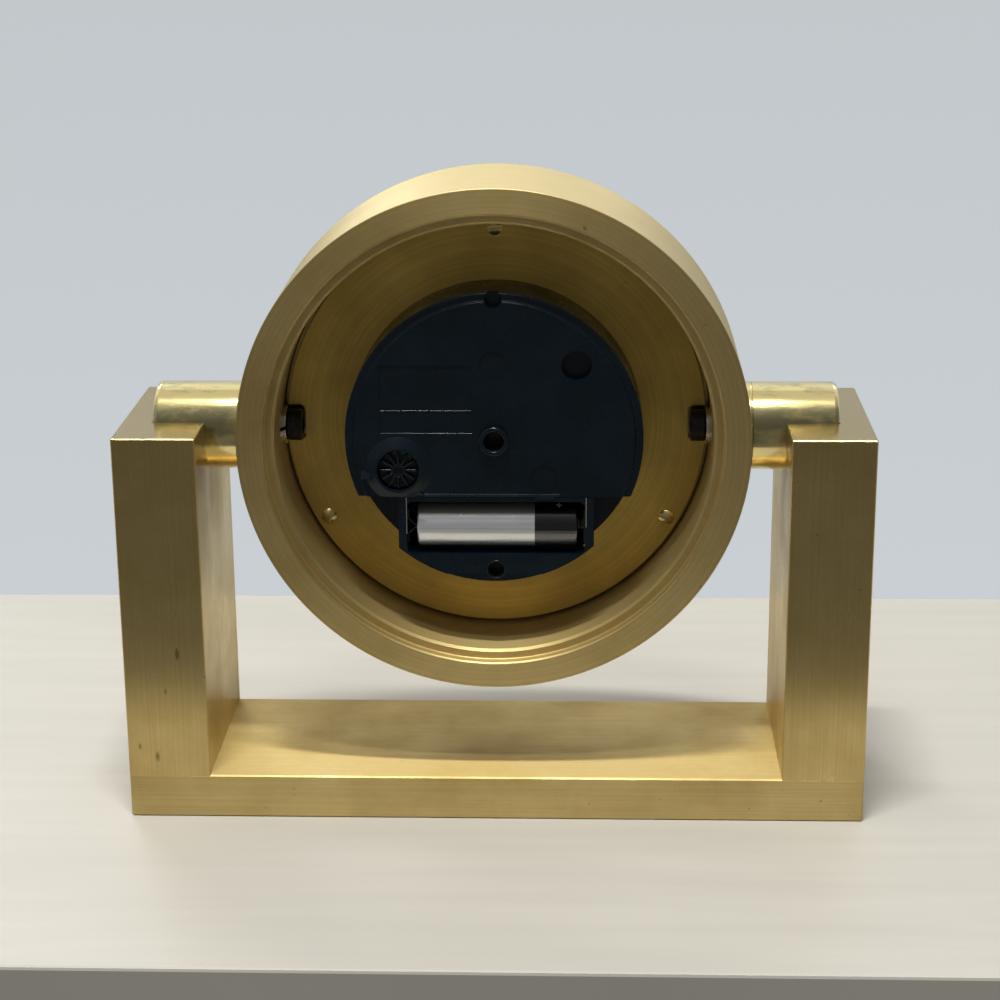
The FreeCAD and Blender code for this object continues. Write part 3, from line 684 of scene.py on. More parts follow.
def pale_wood(name, colour):
    """Table top with a fine grain and broad pale bands along it."""
    finish = Finish(name, colour, 0.0, 0.5)
    grain = finish.noise(finish.stretched((6.0, 90.0, 6.0)), 1.0, 6.0, 0.6)
    broad = finish.noise(finish.stretched((3.0, 14.0, 3.0)), 1.0, 4.0, 0.6)
    tone = finish.blend(finish.span(grain, 0.35, 0.7, 0.0, 0.5), colour, toned(colour, 0.86))
    tone = finish.blend(finish.span(broad, 0.45, 0.7, 0.0, 0.6), tone, toned(colour, 0.88))
    finish.feed("Base Color", tone)
    finish.bump(grain, 0.0002, 0.3)
    return finish.material


def painted_wall(name, colour):
    """Pale backdrop that glows for the camera, for metal and for glass, with painted light that makes it
    lighter low down and almost white towards the top, and plain paint to all else.
    """
    finish = Finish(name, colour, 0.0, 0.6)
    path = finish.add("ShaderNodeLightPath").outputs
    shown = finish.maths("MAXIMUM", path["Is Camera Ray"], path["Is Glossy Ray"])
    shown = finish.maths("MAXIMUM", shown, path["Is Transmission Ray"])
    height = finish.part(finish.where, "Z")
    # Painted light: the glow is lighter low down and turns almost white towards the top, as on a wall lit
    # from above.
    tone = finish.blend(finish.span(height, *WALL_FADE_LOW), toned(colour, 1.12), colour)
    tone = finish.blend(finish.span(height, *WALL_FADE_HIGH), tone, PAINTED_LIGHT_UPPER_WALL)
    glow = finish.add("ShaderNodeEmission", {"Color": tone, "Strength": 1.0}).outputs["Emission"]
    mix = finish.add("ShaderNodeMixShader", {0: shown, 1: finish.shader.outputs["BSDF"], 2: glow})
    finish.tree.links.new(mix.outputs["Shader"], finish.tree.nodes["Material Output"].inputs["Surface"])
    return finish.material


def soft_light(name, place, aim, size, power, colour):
    """Oblong lamp at a place, turned towards what it lights."""
    clear_bench()
    bpy.ops.object.light_add(type="AREA", location=place)
    lamp = name_piece(name)
    lamp.rotation_euler = (aim - place).to_track_quat("-Z", "Y").to_euler()
    lamp.data.shape = "RECTANGLE"
    lamp.data.size, lamp.data.size_y = size
    lamp.data.energy = power
    lamp.data.color = colour


def room_light(strength):
    """Plain room: dim behind the camera, brighter overhead and beyond the clock."""
    world = bpy.data.worlds.new("room")
    bpy.context.scene.world = world
    world.use_nodes = True
    nodes, links = world.node_tree.nodes, world.node_tree.links
    where = nodes.new("ShaderNodeTexCoord")
    tilt = nodes.new("ShaderNodeVectorMath")
    tilt.operation = "DOT_PRODUCT"
    tilt.inputs[1].default_value = ROOM_BRIGHT_SIDE
    rise = nodes.new("ShaderNodeMapRange")
    rise.interpolation_type = "SMOOTHSTEP"
    rise.inputs["From Min"].default_value, rise.inputs["From Max"].default_value = ROOM_FADE
    rise.inputs["To Min"].default_value = strength
    rise.inputs["To Max"].default_value = ROOM_BRIGHT_SHARE * strength
    links.new(where.outputs["Generated"], tilt.inputs[0])
    links.new(tilt.outputs["Value"], rise.inputs["Value"])
    links.new(rise.outputs["Result"], nodes["Background"].inputs["Strength"])
    nodes["Background"].inputs["Color"].default_value = (*ROOM_COLOUR, 1.0)


class CLOCK_OT_stage(bpy.types.Operator):
    """Sets up the camera, the table, the backdrop and the lights"""
    bl_idname = "clock.stage"
    bl_label = "Stage"

    def execute(self, context):
        values = context.scene.clock_studio
        context.scene.view_settings.view_transform = "Standard"
        stage_camera()
        table = break_edges(brick("table_top", TABLE_LOW, TABLE_HIGH), 1.0)
        table.data.materials.append(pale_wood("pale_wood", values.table))
        wall = brick("backdrop", WALL_LOW, WALL_HIGH)
        wall.data.materials.append(painted_wall("painted_wall", values.wall))
        key, rim = values.key_power, values.key_power * RIM_SHARE
        soft_light("overhead_light", KEY_PLACE, STAND_AIM, KEY_SIZE, key, KEY_COLOUR)
        soft_light("rim_light", RIM_PLACE, DRUM_AIM, KEY_SIZE, rim, KEY_COLOUR)
        for name, (place, share) in DIAL_LIGHTS.items():
            soft_light(name, place, DRUM_AIM, DIAL_LIGHT_SIZE, values.fill_power * share, DIAL_LIGHT_COLOUR)
        room_light(values.room)
        return {"FINISHED"}


# ---- stand -------------------------------------------------------------------
GRAIN_ACROSS, GRAIN_ALONG = 1500.0, 18.0
POST_SINK = 0.8
POST_INSET = 0.02
POST_EDGE = 0.3
# Place to the side, height and size of each small dent in the posts' rear faces.
POST_DENTS = ((105.3, 20.2, 0.9), (110.5, 23.6, 0.5), (97.4, 54.4, 0.9), (101.7, 42.0, 0.5))


class CLOCK_OT_stand(bpy.types.Operator):
    """Cuts and bores the two posts and finishes them and the base bar as drawn brass bar"""
    bl_idname = "clock.stand"
    bl_label = "Stand"

    def execute(self, context):
        colours = context.scene.clock_colours
        dents = [(Vector((x * MM, REAR_FACE, z * MM)), size) for x, z, size in POST_DENTS]
        upright = brushed_brass("post_brass", colours, (GRAIN_ACROSS, GRAIN_ACROSS, GRAIN_ALONG),
                                (0.26, 0.38), POST_TOP, dents)
        flat = brushed_brass("base_brass", colours, (GRAIN_ALONG, GRAIN_ACROSS, GRAIN_ACROSS), (0.42, 0.54))
        inset = Vector((POST_INSET * MM, POST_INSET * MM, 0))
        sink = UPWARD * POST_SINK * MM
        for node, side in (("right_post", 1), ("left_post", -1)):
            low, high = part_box(node)
            # The edges are broken before the bore, whose short edges would hold the bevel back.
            post = break_edges(brick(node + "_cut", low + inset - sink, high - inset), POST_EDGE, 1)
            way = Vector((side, 0, 0))
            first = min(abs(low.x), abs(high.x)) / MM - 1
            bore = peg("bore", PIVOT + way * first * MM, way, SHAFT_RADIUS + FIT, SHAFT_END + FIT - first,
                       128)
            smooth(carve(post, bore), 12)
            finish_piece(post, "stand", "stand_brass", upright, node)
        dress_node("base_bar", flat)
        return {"FINISHED"}


# ---- drum --------------------------------------------------------------------
FRONT_CHAMFER, MOUTH_CHAMFER, RABBET_CHAMFER = 1.5, 0.5, 0.8
LIP_WIDTH = 4.1
RABBET_WIDTH, RABBET_DEPTH = 3.05, 3.4
SEAT_START = 76.0
# Name, start on the shafts' axis, radius, length and flats of each bore in the drum's side.
DRUM_BORES = (("seat", SEAT_START, SHAFT_RADIUS + FIT, 5.0, 96), ("hole", 60.0, 3.3, 25.0, 48),
              ("spot", 62.0, 5.95, 5.0, 64))


class CLOCK_OT_drum(bpy.types.Operator):
    """Turns the drum case and bores it for the shafts and their screws"""
    bl_idname = "clock.drum"
    bl_label = "Drum case"

    def execute(self, context):
        sizes, colours = context.scene.clock_sizes, context.scene.clock_colours
        lip, rabbet = BORE - LIP_WIDTH, BORE + RABBET_WIDTH
        profile = [(DRUM_RADIUS, 0), (DRUM_RADIUS, DRUM_LENGTH - FRONT_CHAMFER),
                   (DRUM_RADIUS - FRONT_CHAMFER, DRUM_LENGTH), (lip, DRUM_LENGTH), (lip, GLASS_FRONT),
                   (BORE, GLASS_FRONT), (BORE, RABBET_DEPTH + RABBET_CHAMFER),
                   (BORE + RABBET_CHAMFER, RABBET_DEPTH), (rabbet, RABBET_DEPTH), (rabbet, MOUTH_CHAMFER),
                   (rabbet + MOUTH_CHAMFER, 0)]
        shape = rounded(profile, sizes.edge_radius)
        drum = turn("drum_turned", shape, seen(0, 0), INWARD, sizes.turning_steps)
        for side in (-1, 1):
            way = Vector((side, 0, 0))
            carve(drum, *(peg(name, PIVOT + way * start * MM, way, radius, length, steps)
                          for name, start, radius, length, steps in DRUM_BORES))
        smooth(drum)
        material = turned_brass("drum_brass", colours.brass, colours.tarnish, (0.5, 0.6), dull_inside=BORE,
                                outside=DRUM_RADIUS, sheen_colour=colours.rubbed)
        finish_piece(drum, "drum", "drum_brass", material, "drum_case")
        return {"FINISHED"}


GROOVE_PLACE, GROOVE_WIDTH, GROOVE_DEPTH = 78.3, 0.5, 0.15
# Steps of the crowned end: down from the full radius, and back from the tip.
CROWN = ((0.0, 1.4), (0.45, 0.4), (1.35, 0.0))


class CLOCK_OT_shafts(bpy.types.Operator):
    """Turns and polishes the two trunnion shafts"""
    bl_idname = "clock.shafts"
    bl_label = "Trunnion shafts"

    def execute(self, context):
        colours = context.scene.clock_colours
        full, floor = SHAFT_RADIUS, SHAFT_RADIUS - GROOVE_DEPTH
        groove_end = GROOVE_PLACE + GROOVE_WIDTH
        profile = [(0, SEAT_START + FIT), (full, SEAT_START + FIT), (full, GROOVE_PLACE),
                   (floor, GROOVE_PLACE + GROOVE_DEPTH), (floor, groove_end - GROOVE_DEPTH),
                   (full, groove_end)]
        profile += [(full - drop, SHAFT_END - back) for drop, back in CROWN] + [(0, SHAFT_END)]
        shape = rounded(profile, 0.5, 3, ends=False)
        right = smooth(turn("shaft_right", shape, PIVOT, (1, 0, 0), 160))
        left = turn_about(copy_of(right, "shaft_left"), PIVOT, "Z", 180)
        material = polished_brass("shaft_brass", colours.polish)
        finish_piece(right, "drum", "shaft_brass", material, "trunnion_shafts")
        finish_piece(left, "drum", "shaft_brass", material)
        return {"FINISHED"}


HEAD_START, HEAD_END, HEAD_RADIUS = 60.2, 64.8, 5.1
SHANK_RADIUS = 2.95
KNURL_STEPS, KNURL_WAIST, KNURL_START = 4, 0.965, 0.7
SOCKET_WIDTH, SOCKET_DEPTH = 5.0, 2.6
WASHER_END, WASHER_RADIUS, WASHER_BORE = 67.0, 5.9, 3.35
SLIT_LOW, SLIT_HIGH = Vector((63.0, 0.0, -0.5)), Vector((69.0, 8.0, 0.5))
SLIT_MIDDLE, SLIT_SLANT = Vector((66.0, 5.0, 0.0)), 25


def knurled_screw(knurls):
    """Socket cap screw on the right shaft's axis, with its head inside the drum."""
    profile = [(0, HEAD_START), (HEAD_RADIUS, HEAD_START), (HEAD_RADIUS, HEAD_END), (SHANK_RADIUS, HEAD_END),
               (SHANK_RADIUS, SEAT_START), (0, SEAT_START)]
    around = knurls * KNURL_STEPS
    screw = turn("cap_screw_right", rounded(profile, 0.5, 3, ends=False), PIVOT, (1, 0, 0), around)
    take(screw)
    for vertex in screw.data.vertices:
        away = vertex.co - PIVOT
        step = round(math.atan2(away.y, away.z) / math.tau * around)
        on_side = math.hypot(away.y, away.z) > (HEAD_RADIUS - 0.15) * MM
        past_rim = away.x > (HEAD_START + KNURL_START) * MM
        vertex.select = on_side and past_rim and step % KNURL_STEPS in (0, 1)
    bpy.ops.object.mode_set(mode="EDIT")
    bpy.ops.transform.resize(value=(1, KNURL_WAIST, KNURL_WAIST), center_override=PIVOT)
    bpy.ops.object.mode_set(mode="OBJECT")
    mouth = PIVOT + Vector((HEAD_START - 1, 0, 0)) * MM
    socket = peg("socket", mouth, (1, 0, 0), SOCKET_WIDTH / math.sqrt(3), 1 + SOCKET_DEPTH, 6)
    return smooth(carve(screw, socket), 28)


class CLOCK_OT_cap_screws(bpy.types.Operator):
    """Makes the knurled cap screws and the split washers under their heads"""
    bl_idname = "clock.cap_screws"
    bl_label = "Cap screws"

    def execute(self, context):
        right = knurled_screw(context.scene.clock_sizes.knurl_count)
        left = turn_about(copy_of(right, "cap_screw_left"), PIVOT, "Z", 180)
        black = black_steel("black_oxide", (0.018, 0.017, 0.017))
        finish_piece(right, "drum", "black_steel", black, "trunnion_screws")
        finish_piece(left, "drum", "black_steel", black)
        near, far = HEAD_END + FIT, WASHER_END - FIT
        ring = [(WASHER_BORE, near), (WASHER_RADIUS, near), (WASHER_RADIUS, far), (WASHER_BORE, far)]
        washer = turn("washer_right", rounded(ring, 0.3, 3), PIVOT, (1, 0, 0), 96)
        slit = brick("slit", PIVOT + SLIT_LOW * MM, PIVOT + SLIT_HIGH * MM)
        turn_about(slit, PIVOT + SLIT_MIDDLE * MM, "Y", SLIT_SLANT)
        smooth(carve(washer, slit))
        other = turn_about(copy_of(washer, "washer_left"), PIVOT, "Z", 180)
        zinc = bright_steel("washer_zinc", (0.62, 0.58, 0.50), 0.28)
        finish_piece(washer, "drum", "washer_steel", zinc, "lock_washers")
        finish_piece(other, "drum", "washer_steel", zinc)
        return {"FINISHED"}


# ---- dial plate --------------------------------------------------------------
PLATE_BORE = 4.05
RING_RECESS, RING_RECESS_DEPTH = 41.0, 1.5
NOTCH_FLOOR, NOTCH_MOUTH, NOTCH_HALF = 59.6, 70.0, 5.7
SCREW_CIRCLE, SCREW_RADIUS, SCREW_RISE = 61.5, 2.4, 1.3
DOME_RISE, DOME_STEPS = 0.85, 8
SLOT_REACH, SLOT_HALF, SLOT_DEPTH = 3.5, 0.4, 0.9
# Bearing of each plate screw seen from behind, and the slant that its slot was left at.
PLATE_SCREWS = ((90, 8.0), (210, 48.0), (330, -28.0))


def slotted_screw(bearing, slant):
    """Screw with a domed, slotted head, seated on the plate."""
    right, up = polar(SCREW_CIRCLE, bearing)
    crown = PLATE_REAR - SCREW_RISE
    dome = [(SCREW_RADIUS * i / DOME_STEPS, crown + DOME_RISE * (i / DOME_STEPS) ** 2)
            for i in range(DOME_STEPS + 1)]
    foot = [(SCREW_RADIUS, PLATE_REAR + FIT), (0, PLATE_REAR + FIT)]
    head = turn("plate_screw", dome + foot, seen(right, up), INWARD, 64)
    slot = brick_seen("slot", right - SLOT_REACH, right + SLOT_REACH, up - SLOT_HALF, up + SLOT_HALF,
                      crown - 1, crown + SLOT_DEPTH)
    turn_about(slot, seen(right, up), "Y", slant)
    return break_edges(carve(head, slot), 0.06, 2, 40)


class CLOCK_OT_dial_plate(bpy.types.Operator):
    """Cuts the dial plate with its two edge notches and fits its three slotted screws"""
    bl_idname = "clock.dial_plate"
    bl_label = "Dial plate"

    def execute(self, context):
        sizes, colours = context.scene.clock_sizes, context.scene.clock_colours
        recess = PLATE_FRONT - RING_RECESS_DEPTH
        profile = [(PLATE_BORE, PLATE_REAR), (PLATE_RADIUS, PLATE_REAR), (PLATE_RADIUS, PLATE_FRONT),
                   (RING_RECESS, PLATE_FRONT), (RING_RECESS, recess), (PLATE_BORE, recess)]
        plate = turn("dial_plate_cut", rounded(profile, 0.2, 2), seen(0, 0), INWARD, sizes.turning_steps)
        for side in (-1, 1):
            notch = rounded([(NOTCH_FLOOR * side, -NOTCH_HALF), (NOTCH_MOUTH * side, -NOTCH_HALF),
                             (NOTCH_MOUTH * side, NOTCH_HALF), (NOTCH_FLOOR * side, NOTCH_HALF)], 2.0, 6)
            carve(plate, stamp("notch", notch, PLATE_REAR - 1, PLATE_FRONT + 1))
        smooth(plate)
        aged = turned_brass("plate_brass", colours.plate, toned(colours.plate, 0.75), (0.42, 0.55), 1500.0)
        finish_piece(plate, "drum", "plate_brass", aged, "dial_plate")
        bright = turned_brass("screw_brass", colours.polish, colours.brass, (0.22, 0.34))
        heads = [slotted_screw(*place) for place in PLATE_SCREWS]
        screws = smooth(weld("plate_screws_slotted", heads))
        finish_piece(screws, "drum", "screw_brass", bright, "plate_screws")
        return {"FINISHED"}


# ---- movement ----------------------------------------------------------------
KNOB = (-29.2, -9.35)
COVER_EDGE = 0.8
CHORD = -17.9
# Name, place, radius, depth and flats of each round hollow in the cover.
COVER_HOLLOWS = (("well", KNOB, 6.4, 2.6, 64), ("blind", (25.1, 23.2), 4.6, 4.0, 96),
                 ("bore", (0.0, 0.0), 3.0, 6.0, 64), ("notch", (0.0, 43.35), 2.6, 4.0, 48))
# Place and radius of the faint round marks that the ejector pins left.
PIN_MARKS = (((0.0, 23.2), 4.4), ((15.2, -12.0), 4.2))
LABEL_LEFT, LABEL_RIGHT = -34.6, -6.6
LABEL_LOW, LABEL_DIVIDE, LABEL_HIGH = 2.0, 9.1, 23.1
POINTER = ((-25.9, -14.6), (-21.4, -17.6), (-26.6, -17.6))
# Name, left, right, bottom, top, how far it stands out, how deep it starts and the level it slopes about.
COVER_TRIM = (("knob_tab", -40.6, -37.6, -12.5, -8.3, 0.3, 1.2, -10.4),
              ("chord_lip", -21.6, 20.0, CHORD, -17.0, 0.2, 0.5, -17.4),
              ("chord_tongue", 13.1, 18.4, -18.6, -17.2, 0.2, 0.5, -17.8))
POINTER_LEVEL = -16.4
LIT_SLOPE = 24.0
CELL_UP, CELL_RADIUS = -28.6, 7.08
BAY_LEFT, BAY_RIGHT, BAY_DEPTH = -29.5, 30.5, 14.6
POCKET_LEFT, POCKET_RIGHT, POCKET_LOW, POCKET_HIGH, POCKET_DEPTH = -26.9, 27.7, -36.6, -19.5, 7.7
TROUGH_RADIUS = 7.5
TRAY_REAR = 20.35
LOW_STEP, LOW_STEP_DEPTH = -42.85, 0.7
LOW_NOTCH, LOW_NOTCH_RADIUS, LOW_NOTCH_DEPTH = (0.4, -41.3), 2.5, 4.4


def cut_below(piece, up):
    """Cuts a piece off along a level line and closes the cut."""
    edit(piece)
    bpy.ops.mesh.bisect(plane_co=seen(0, up), plane_no=UPWARD, use_fill=True, clear_inner=True)
    close_shell()


def make_cover(sizes):
    """Rear cover with its stepped rim, flat along the chord, and all the hollows in its face."""
    step_radius, rim_radius = COVER_RADIUS - sizes.cover_step, COVER_RADIUS - FIT
    step, front = COVER_REAR + COVER_EDGE, COVER_FRONT - FIT
    profile = [(0, COVER_REAR), (step_radius, COVER_REAR), (step_radius + 0.35, step), (rim_radius, step),
               (rim_radius, front), (0, front)]
    cover = turn("movement_cover_moulded", rounded(profile, 0.45, 4, ends=False), seen(0, 0), INWARD,
                 sizes.turning_steps)
    cut_below(cover, CHORD)
    before = COVER_REAR - 1
    tools = [peg(name, seen(*place, before), INWARD, radius, 1 + depth, steps)
             for name, place, radius, depth, steps in COVER_HOLLOWS]
    tools += [brick_seen("label_field", LABEL_LEFT, LABEL_RIGHT, LABEL_LOW, LABEL_HIGH, before,
                         COVER_REAR + 0.25)]
    tools += [peg("pin_mark", seen(*place, before), INWARD, radius, 1 + 0.3) for place, radius in PIN_MARKS]
    return break_edges(carve(cover, *tools), 0.14, 2, 50)


def rib(name, start, end, width, height):
    """Low moulded line between two places of the cover's face."""
    run = Vector(end) - Vector(start)
    foot = COVER_REAR + 0.3
    bar = brick_seen(name, start[0], start[0] + run.length, start[1] - width / 2, start[1] + width / 2,
                     foot - height, foot)
    turn_about(bar, seen(*start), "Y", math.degrees(math.atan2(run.y, run.x)))
    return smooth(break_edges(bar, width * 0.4, 3), 12)


def make_cover_trim():
    """Ring round the centre bore, collar, pointer and tab of the setting knob, chord trim and label lines."""
    face = COVER_REAR
    ring = [(3.1, BOSS_REAR), (4.5, BOSS_REAR), (4.5, face + 0.2), (3.1, face + 0.2)]
    cone = [(6.4, face + 0.3), (6.4, face - 1.2), (7.0, face - 1.3), (10.2, face - 0.02), (10.2, face + 0.3)]
    collar = turn("knob_collar", rounded(cone, 0.15, 2), seen(*KNOB), INWARD, 128)
    cut_below(collar, CHORD + 0.1)
    pieces = [smooth(turn("centre_ring", rounded(ring, 0.45, 4), seen(0, 0), INWARD, 64)), smooth(collar)]
    sloped = [(stamp("knob_pointer", POINTER, face - 0.6, face + 0.8), POINTER_LEVEL)]
    sloped += [(brick_seen(*sides, face - proud, face + sunk), level)
               for *sides, proud, sunk, level in COVER_TRIM]
    for piece, level in sloped:
        turn_about(piece, seen(0, level, face), "X", LIT_SLOPE)
        pieces.append(smooth(break_edges(piece, 0.12, 3), 12))
    pieces += [rib("label_line", (LABEL_LEFT, up), (LABEL_RIGHT, up), 0.38, 0.22)
               for up in (LABEL_DIVIDE, LABEL_LOW)]
    return pieces + [rib("label_line", (LABEL_LEFT, LABEL_LOW), (LABEL_LEFT, LABEL_DIVIDE + 2), 0.5, 0.35)]


def make_tray(reach):
    """Round front half of the movement, closed round its hand-setting work."""
    profile = [(0, TRAY_REAR), (reach, TRAY_REAR), (reach, PLATE_REAR), (0, PLATE_REAR)]
    return smooth(turn("tray", rounded(profile, 0.25, 3, ends=False), seen(0, 0), INWARD, 224))


def make_battery_bay(reach):
    """Box under the chord with the pocket and the round trough that the cell lies in."""
    back, before = COVER_REAR, COVER_REAR - 1
    top, floor = CHORD - 0.15, COVER_REAR + POCKET_DEPTH
    left_drop, right_drop = (-math.degrees(math.acos(side / reach)) for side in (BAY_LEFT, BAY_RIGHT))
    outline = [(BAY_LEFT, top)] + arc(reach, left_drop, right_drop, 40) + [(BAY_RIGHT, top)]
    box = stamp("battery_bay", outline, back, back + BAY_DEPTH)
    step = brick_seen("low_step", BAY_LEFT - 1, BAY_RIGHT + 1, -reach - 1, LOW_STEP, before,
                      back + LOW_STEP_DEPTH)
    corners = [(POCKET_LEFT, POCKET_LOW), (POCKET_RIGHT, POCKET_LOW), (POCKET_RIGHT, POCKET_HIGH),
               (POCKET_LEFT, POCKET_HIGH)]
    pocket = stamp("pocket", rounded(corners, 2.0, 5), before, floor)
    trough = peg("trough", seen(POCKET_LEFT, CELL_UP, floor), (-1, 0, 0), TROUGH_RADIUS,
                 POCKET_RIGHT - POCKET_LEFT, 96)
    notch = peg("low_notch", seen(*LOW_NOTCH, before), INWARD, LOW_NOTCH_RADIUS, 1 + LOW_NOTCH_DEPTH, 48)
    carve(box, step, pocket, trough, notch)
    return smooth(break_edges(box, 0.2, 3), 12)


def make_notch_ring():
    """Raised ring round the notch at the foot of the movement."""
    inner, outer = LOW_NOTCH_RADIUS, LOW_NOTCH_RADIUS + 0.5
    rear, front = COVER_REAR - 0.25, COVER_REAR + 0.9
    profile = [(inner, rear), (outer, rear), (outer, front), (inner, front)]
    return smooth(turn("low_notch_ring", rounded(profile, 0.2, 3), seen(*LOW_NOTCH), INWARD, 64))


class CLOCK_OT_movement(bpy.types.Operator):
    """Moulds the movement's rear cover, its tray and its battery bay"""
    bl_idname = "clock.movement"
    bl_label = "Movement"

    def execute(self, context):
        sizes, colours = context.scene.clock_sizes, context.scene.clock_colours
        black = moulded_plastic("housing_black", colours.housing, 0.27)
        cover = smooth(make_cover(sizes))
        finish_piece(cover, "drum", "housing_black", black, "movement_cover")
        trim = smooth(weld("movement_cover_trim", make_cover_trim()))
        finish_piece(trim, "drum", "housing_black", black)
        reach = COVER_RADIUS - 3 * FIT
        bay, tray, ring = make_battery_bay(reach), make_tray(reach), make_notch_ring()
        finish_piece(tray, "drum", "housing_black", black, "movement_base")
        finish_piece(bay, "drum", "housing_black", black)
        finish_piece(ring, "drum", "housing_black", black)
        return {"FINISHED"}


KNOB_RADIUS, KNOB_HUB, KNOB_DISH = 5.8, 2.1, 4.9
KNOB_STEM = 1.5
RIB_START, RIB_END, RIB_HALF = 2.0, 5.7, 0.32


class CLOCK_OT_set_knob(bpy.types.Operator):
    """Moulds the setting knob with the radial ribs on its face"""
    bl_idname = "clock.set_knob"
    bl_label = "Setting knob"

    def execute(self, context):
        sizes, colours = context.scene.clock_sizes, context.scene.clock_colours
        back = COVER_REAR
        profile = [(0, back + 0.2), (1.3, back + 0.2), (1.3, back - 0.6), (KNOB_HUB, back - 0.6),
                   (KNOB_HUB, back + 0.9), (KNOB_DISH, back + 0.9), (KNOB_RADIUS, back + 0.6),
                   (KNOB_RADIUS, back + 1.6), (KNOB_STEM, back + 1.6), (KNOB_STEM, back + 5.6),
                   (0, back + 5.6)]
        knob = turn("knob_disc", rounded(profile, 0.15, 2, ends=False), seen(*KNOB), INWARD, 96)
        right, up = KNOB
        rib_bar = brick_seen("knob_ribs", right + RIB_START, right + RIB_END, up - RIB_HALF, up + RIB_HALF,
                             back - 0.75, back + 1.2)
        break_edges(rib_bar, 0.25, 3)
        repeat_round(rib_bar, sizes.knob_ribs, seen(*KNOB), (0, 1, 0))
        whole = smooth(weld("knob_ribbed", [knob, rib_bar]))
        plastic = moulded_plastic("knob_black", colours.housing, 0.3)
        finish_piece(whole, "setting_knob", "housing_black", plastic, "set_knob")
        return {"FINISHED"}


# ---- battery -----------------------------------------------------------------
CELL_START, CELL_DEPTH = 25.4, 14.1
DARK_END = 12.2
# Heights above the cell's axis, in mm, where the painted reflections on its sleeve change.
REFLECTED_GREY_BAND, REFLECTED_PALE_EDGE, REFLECTED_GLEAM = 3.9, 0.2, -0.2
PLUS_RIGHT, PLUS_ARM, PLUS_HALF, PLUS_TURN = 19.8, 0.9, 0.2, 68
PLUS_REAR, PLUS_FRONT = 6.95, 7.1
# Left, right and bottom of the bent end of each contact.
CONTACT_TABS = ((-27.1, -26.8, -29.8), (27.9, 28.25, -27.6))
TAB_TOP = -18.3


def wrapped_cell(name):
    """Metallised film sleeve in plain bands, black over the positive end; grey on top, pale below and a
    lighter strip under the black end are painted reflection.
    """
    finish = Finish(name, (0.6, 0.6, 0.6), 0.6, 0.2)
    finish.set("Coat Weight", 0.8)
    finish.set("Coat Roughness", 0.12)
    right_of = finish.maths("MULTIPLY", finish.part(finish.where, "X"), -1 / MM)
    dark_end = finish.span(right_of, DARK_END, DARK_END + 0.2)
    crinkle = finish.noise(finish.where, 120.0, 3.0, 0.6)
    above = finish.maths("SUBTRACT", finish.part(finish.where, "Z"), PIVOT.z + CELL_UP * MM)
    height = finish.maths("MULTIPLY", above, 1 / MM)
    streak = finish.noise(finish.stretched((4.0, 4.0, 700.0)), 1.0, 2.0, 0.5)
    pale = finish.blend(finish.span(streak, 0.35, 0.65), (0.74, 0.74, 0.76), (0.52, 0.52, 0.58))
    # Painted reflection: the sleeve is painted pale below, for the lit floor mirrored there, and grey on top,
    # for the dark above; the black end is painted lighter along its bottom.
    pale = finish.blend(finish.span(height, REFLECTED_PALE_EDGE, REFLECTED_PALE_EDGE - 0.5), pale, (0.90, 0.89, 0.85))
    tone = finish.blend(finish.span(height, REFLECTED_GREY_BAND, REFLECTED_GREY_BAND + 0.2), pale, (0.42, 0.41, 0.40))
    black = finish.blend(finish.span(height, REFLECTED_GLEAM, REFLECTED_GLEAM - 0.3), (0.010, 0.010, 0.011), (0.13, 0.12, 0.115))
    finish.feed("Base Color", finish.blend(dark_end, tone, black))
    finish.feed("Roughness", finish.span(crinkle, 0.3, 0.7, 0.18, 0.28))
    finish.bump(crinkle, 0.00002, 0.2)
    return finish.material


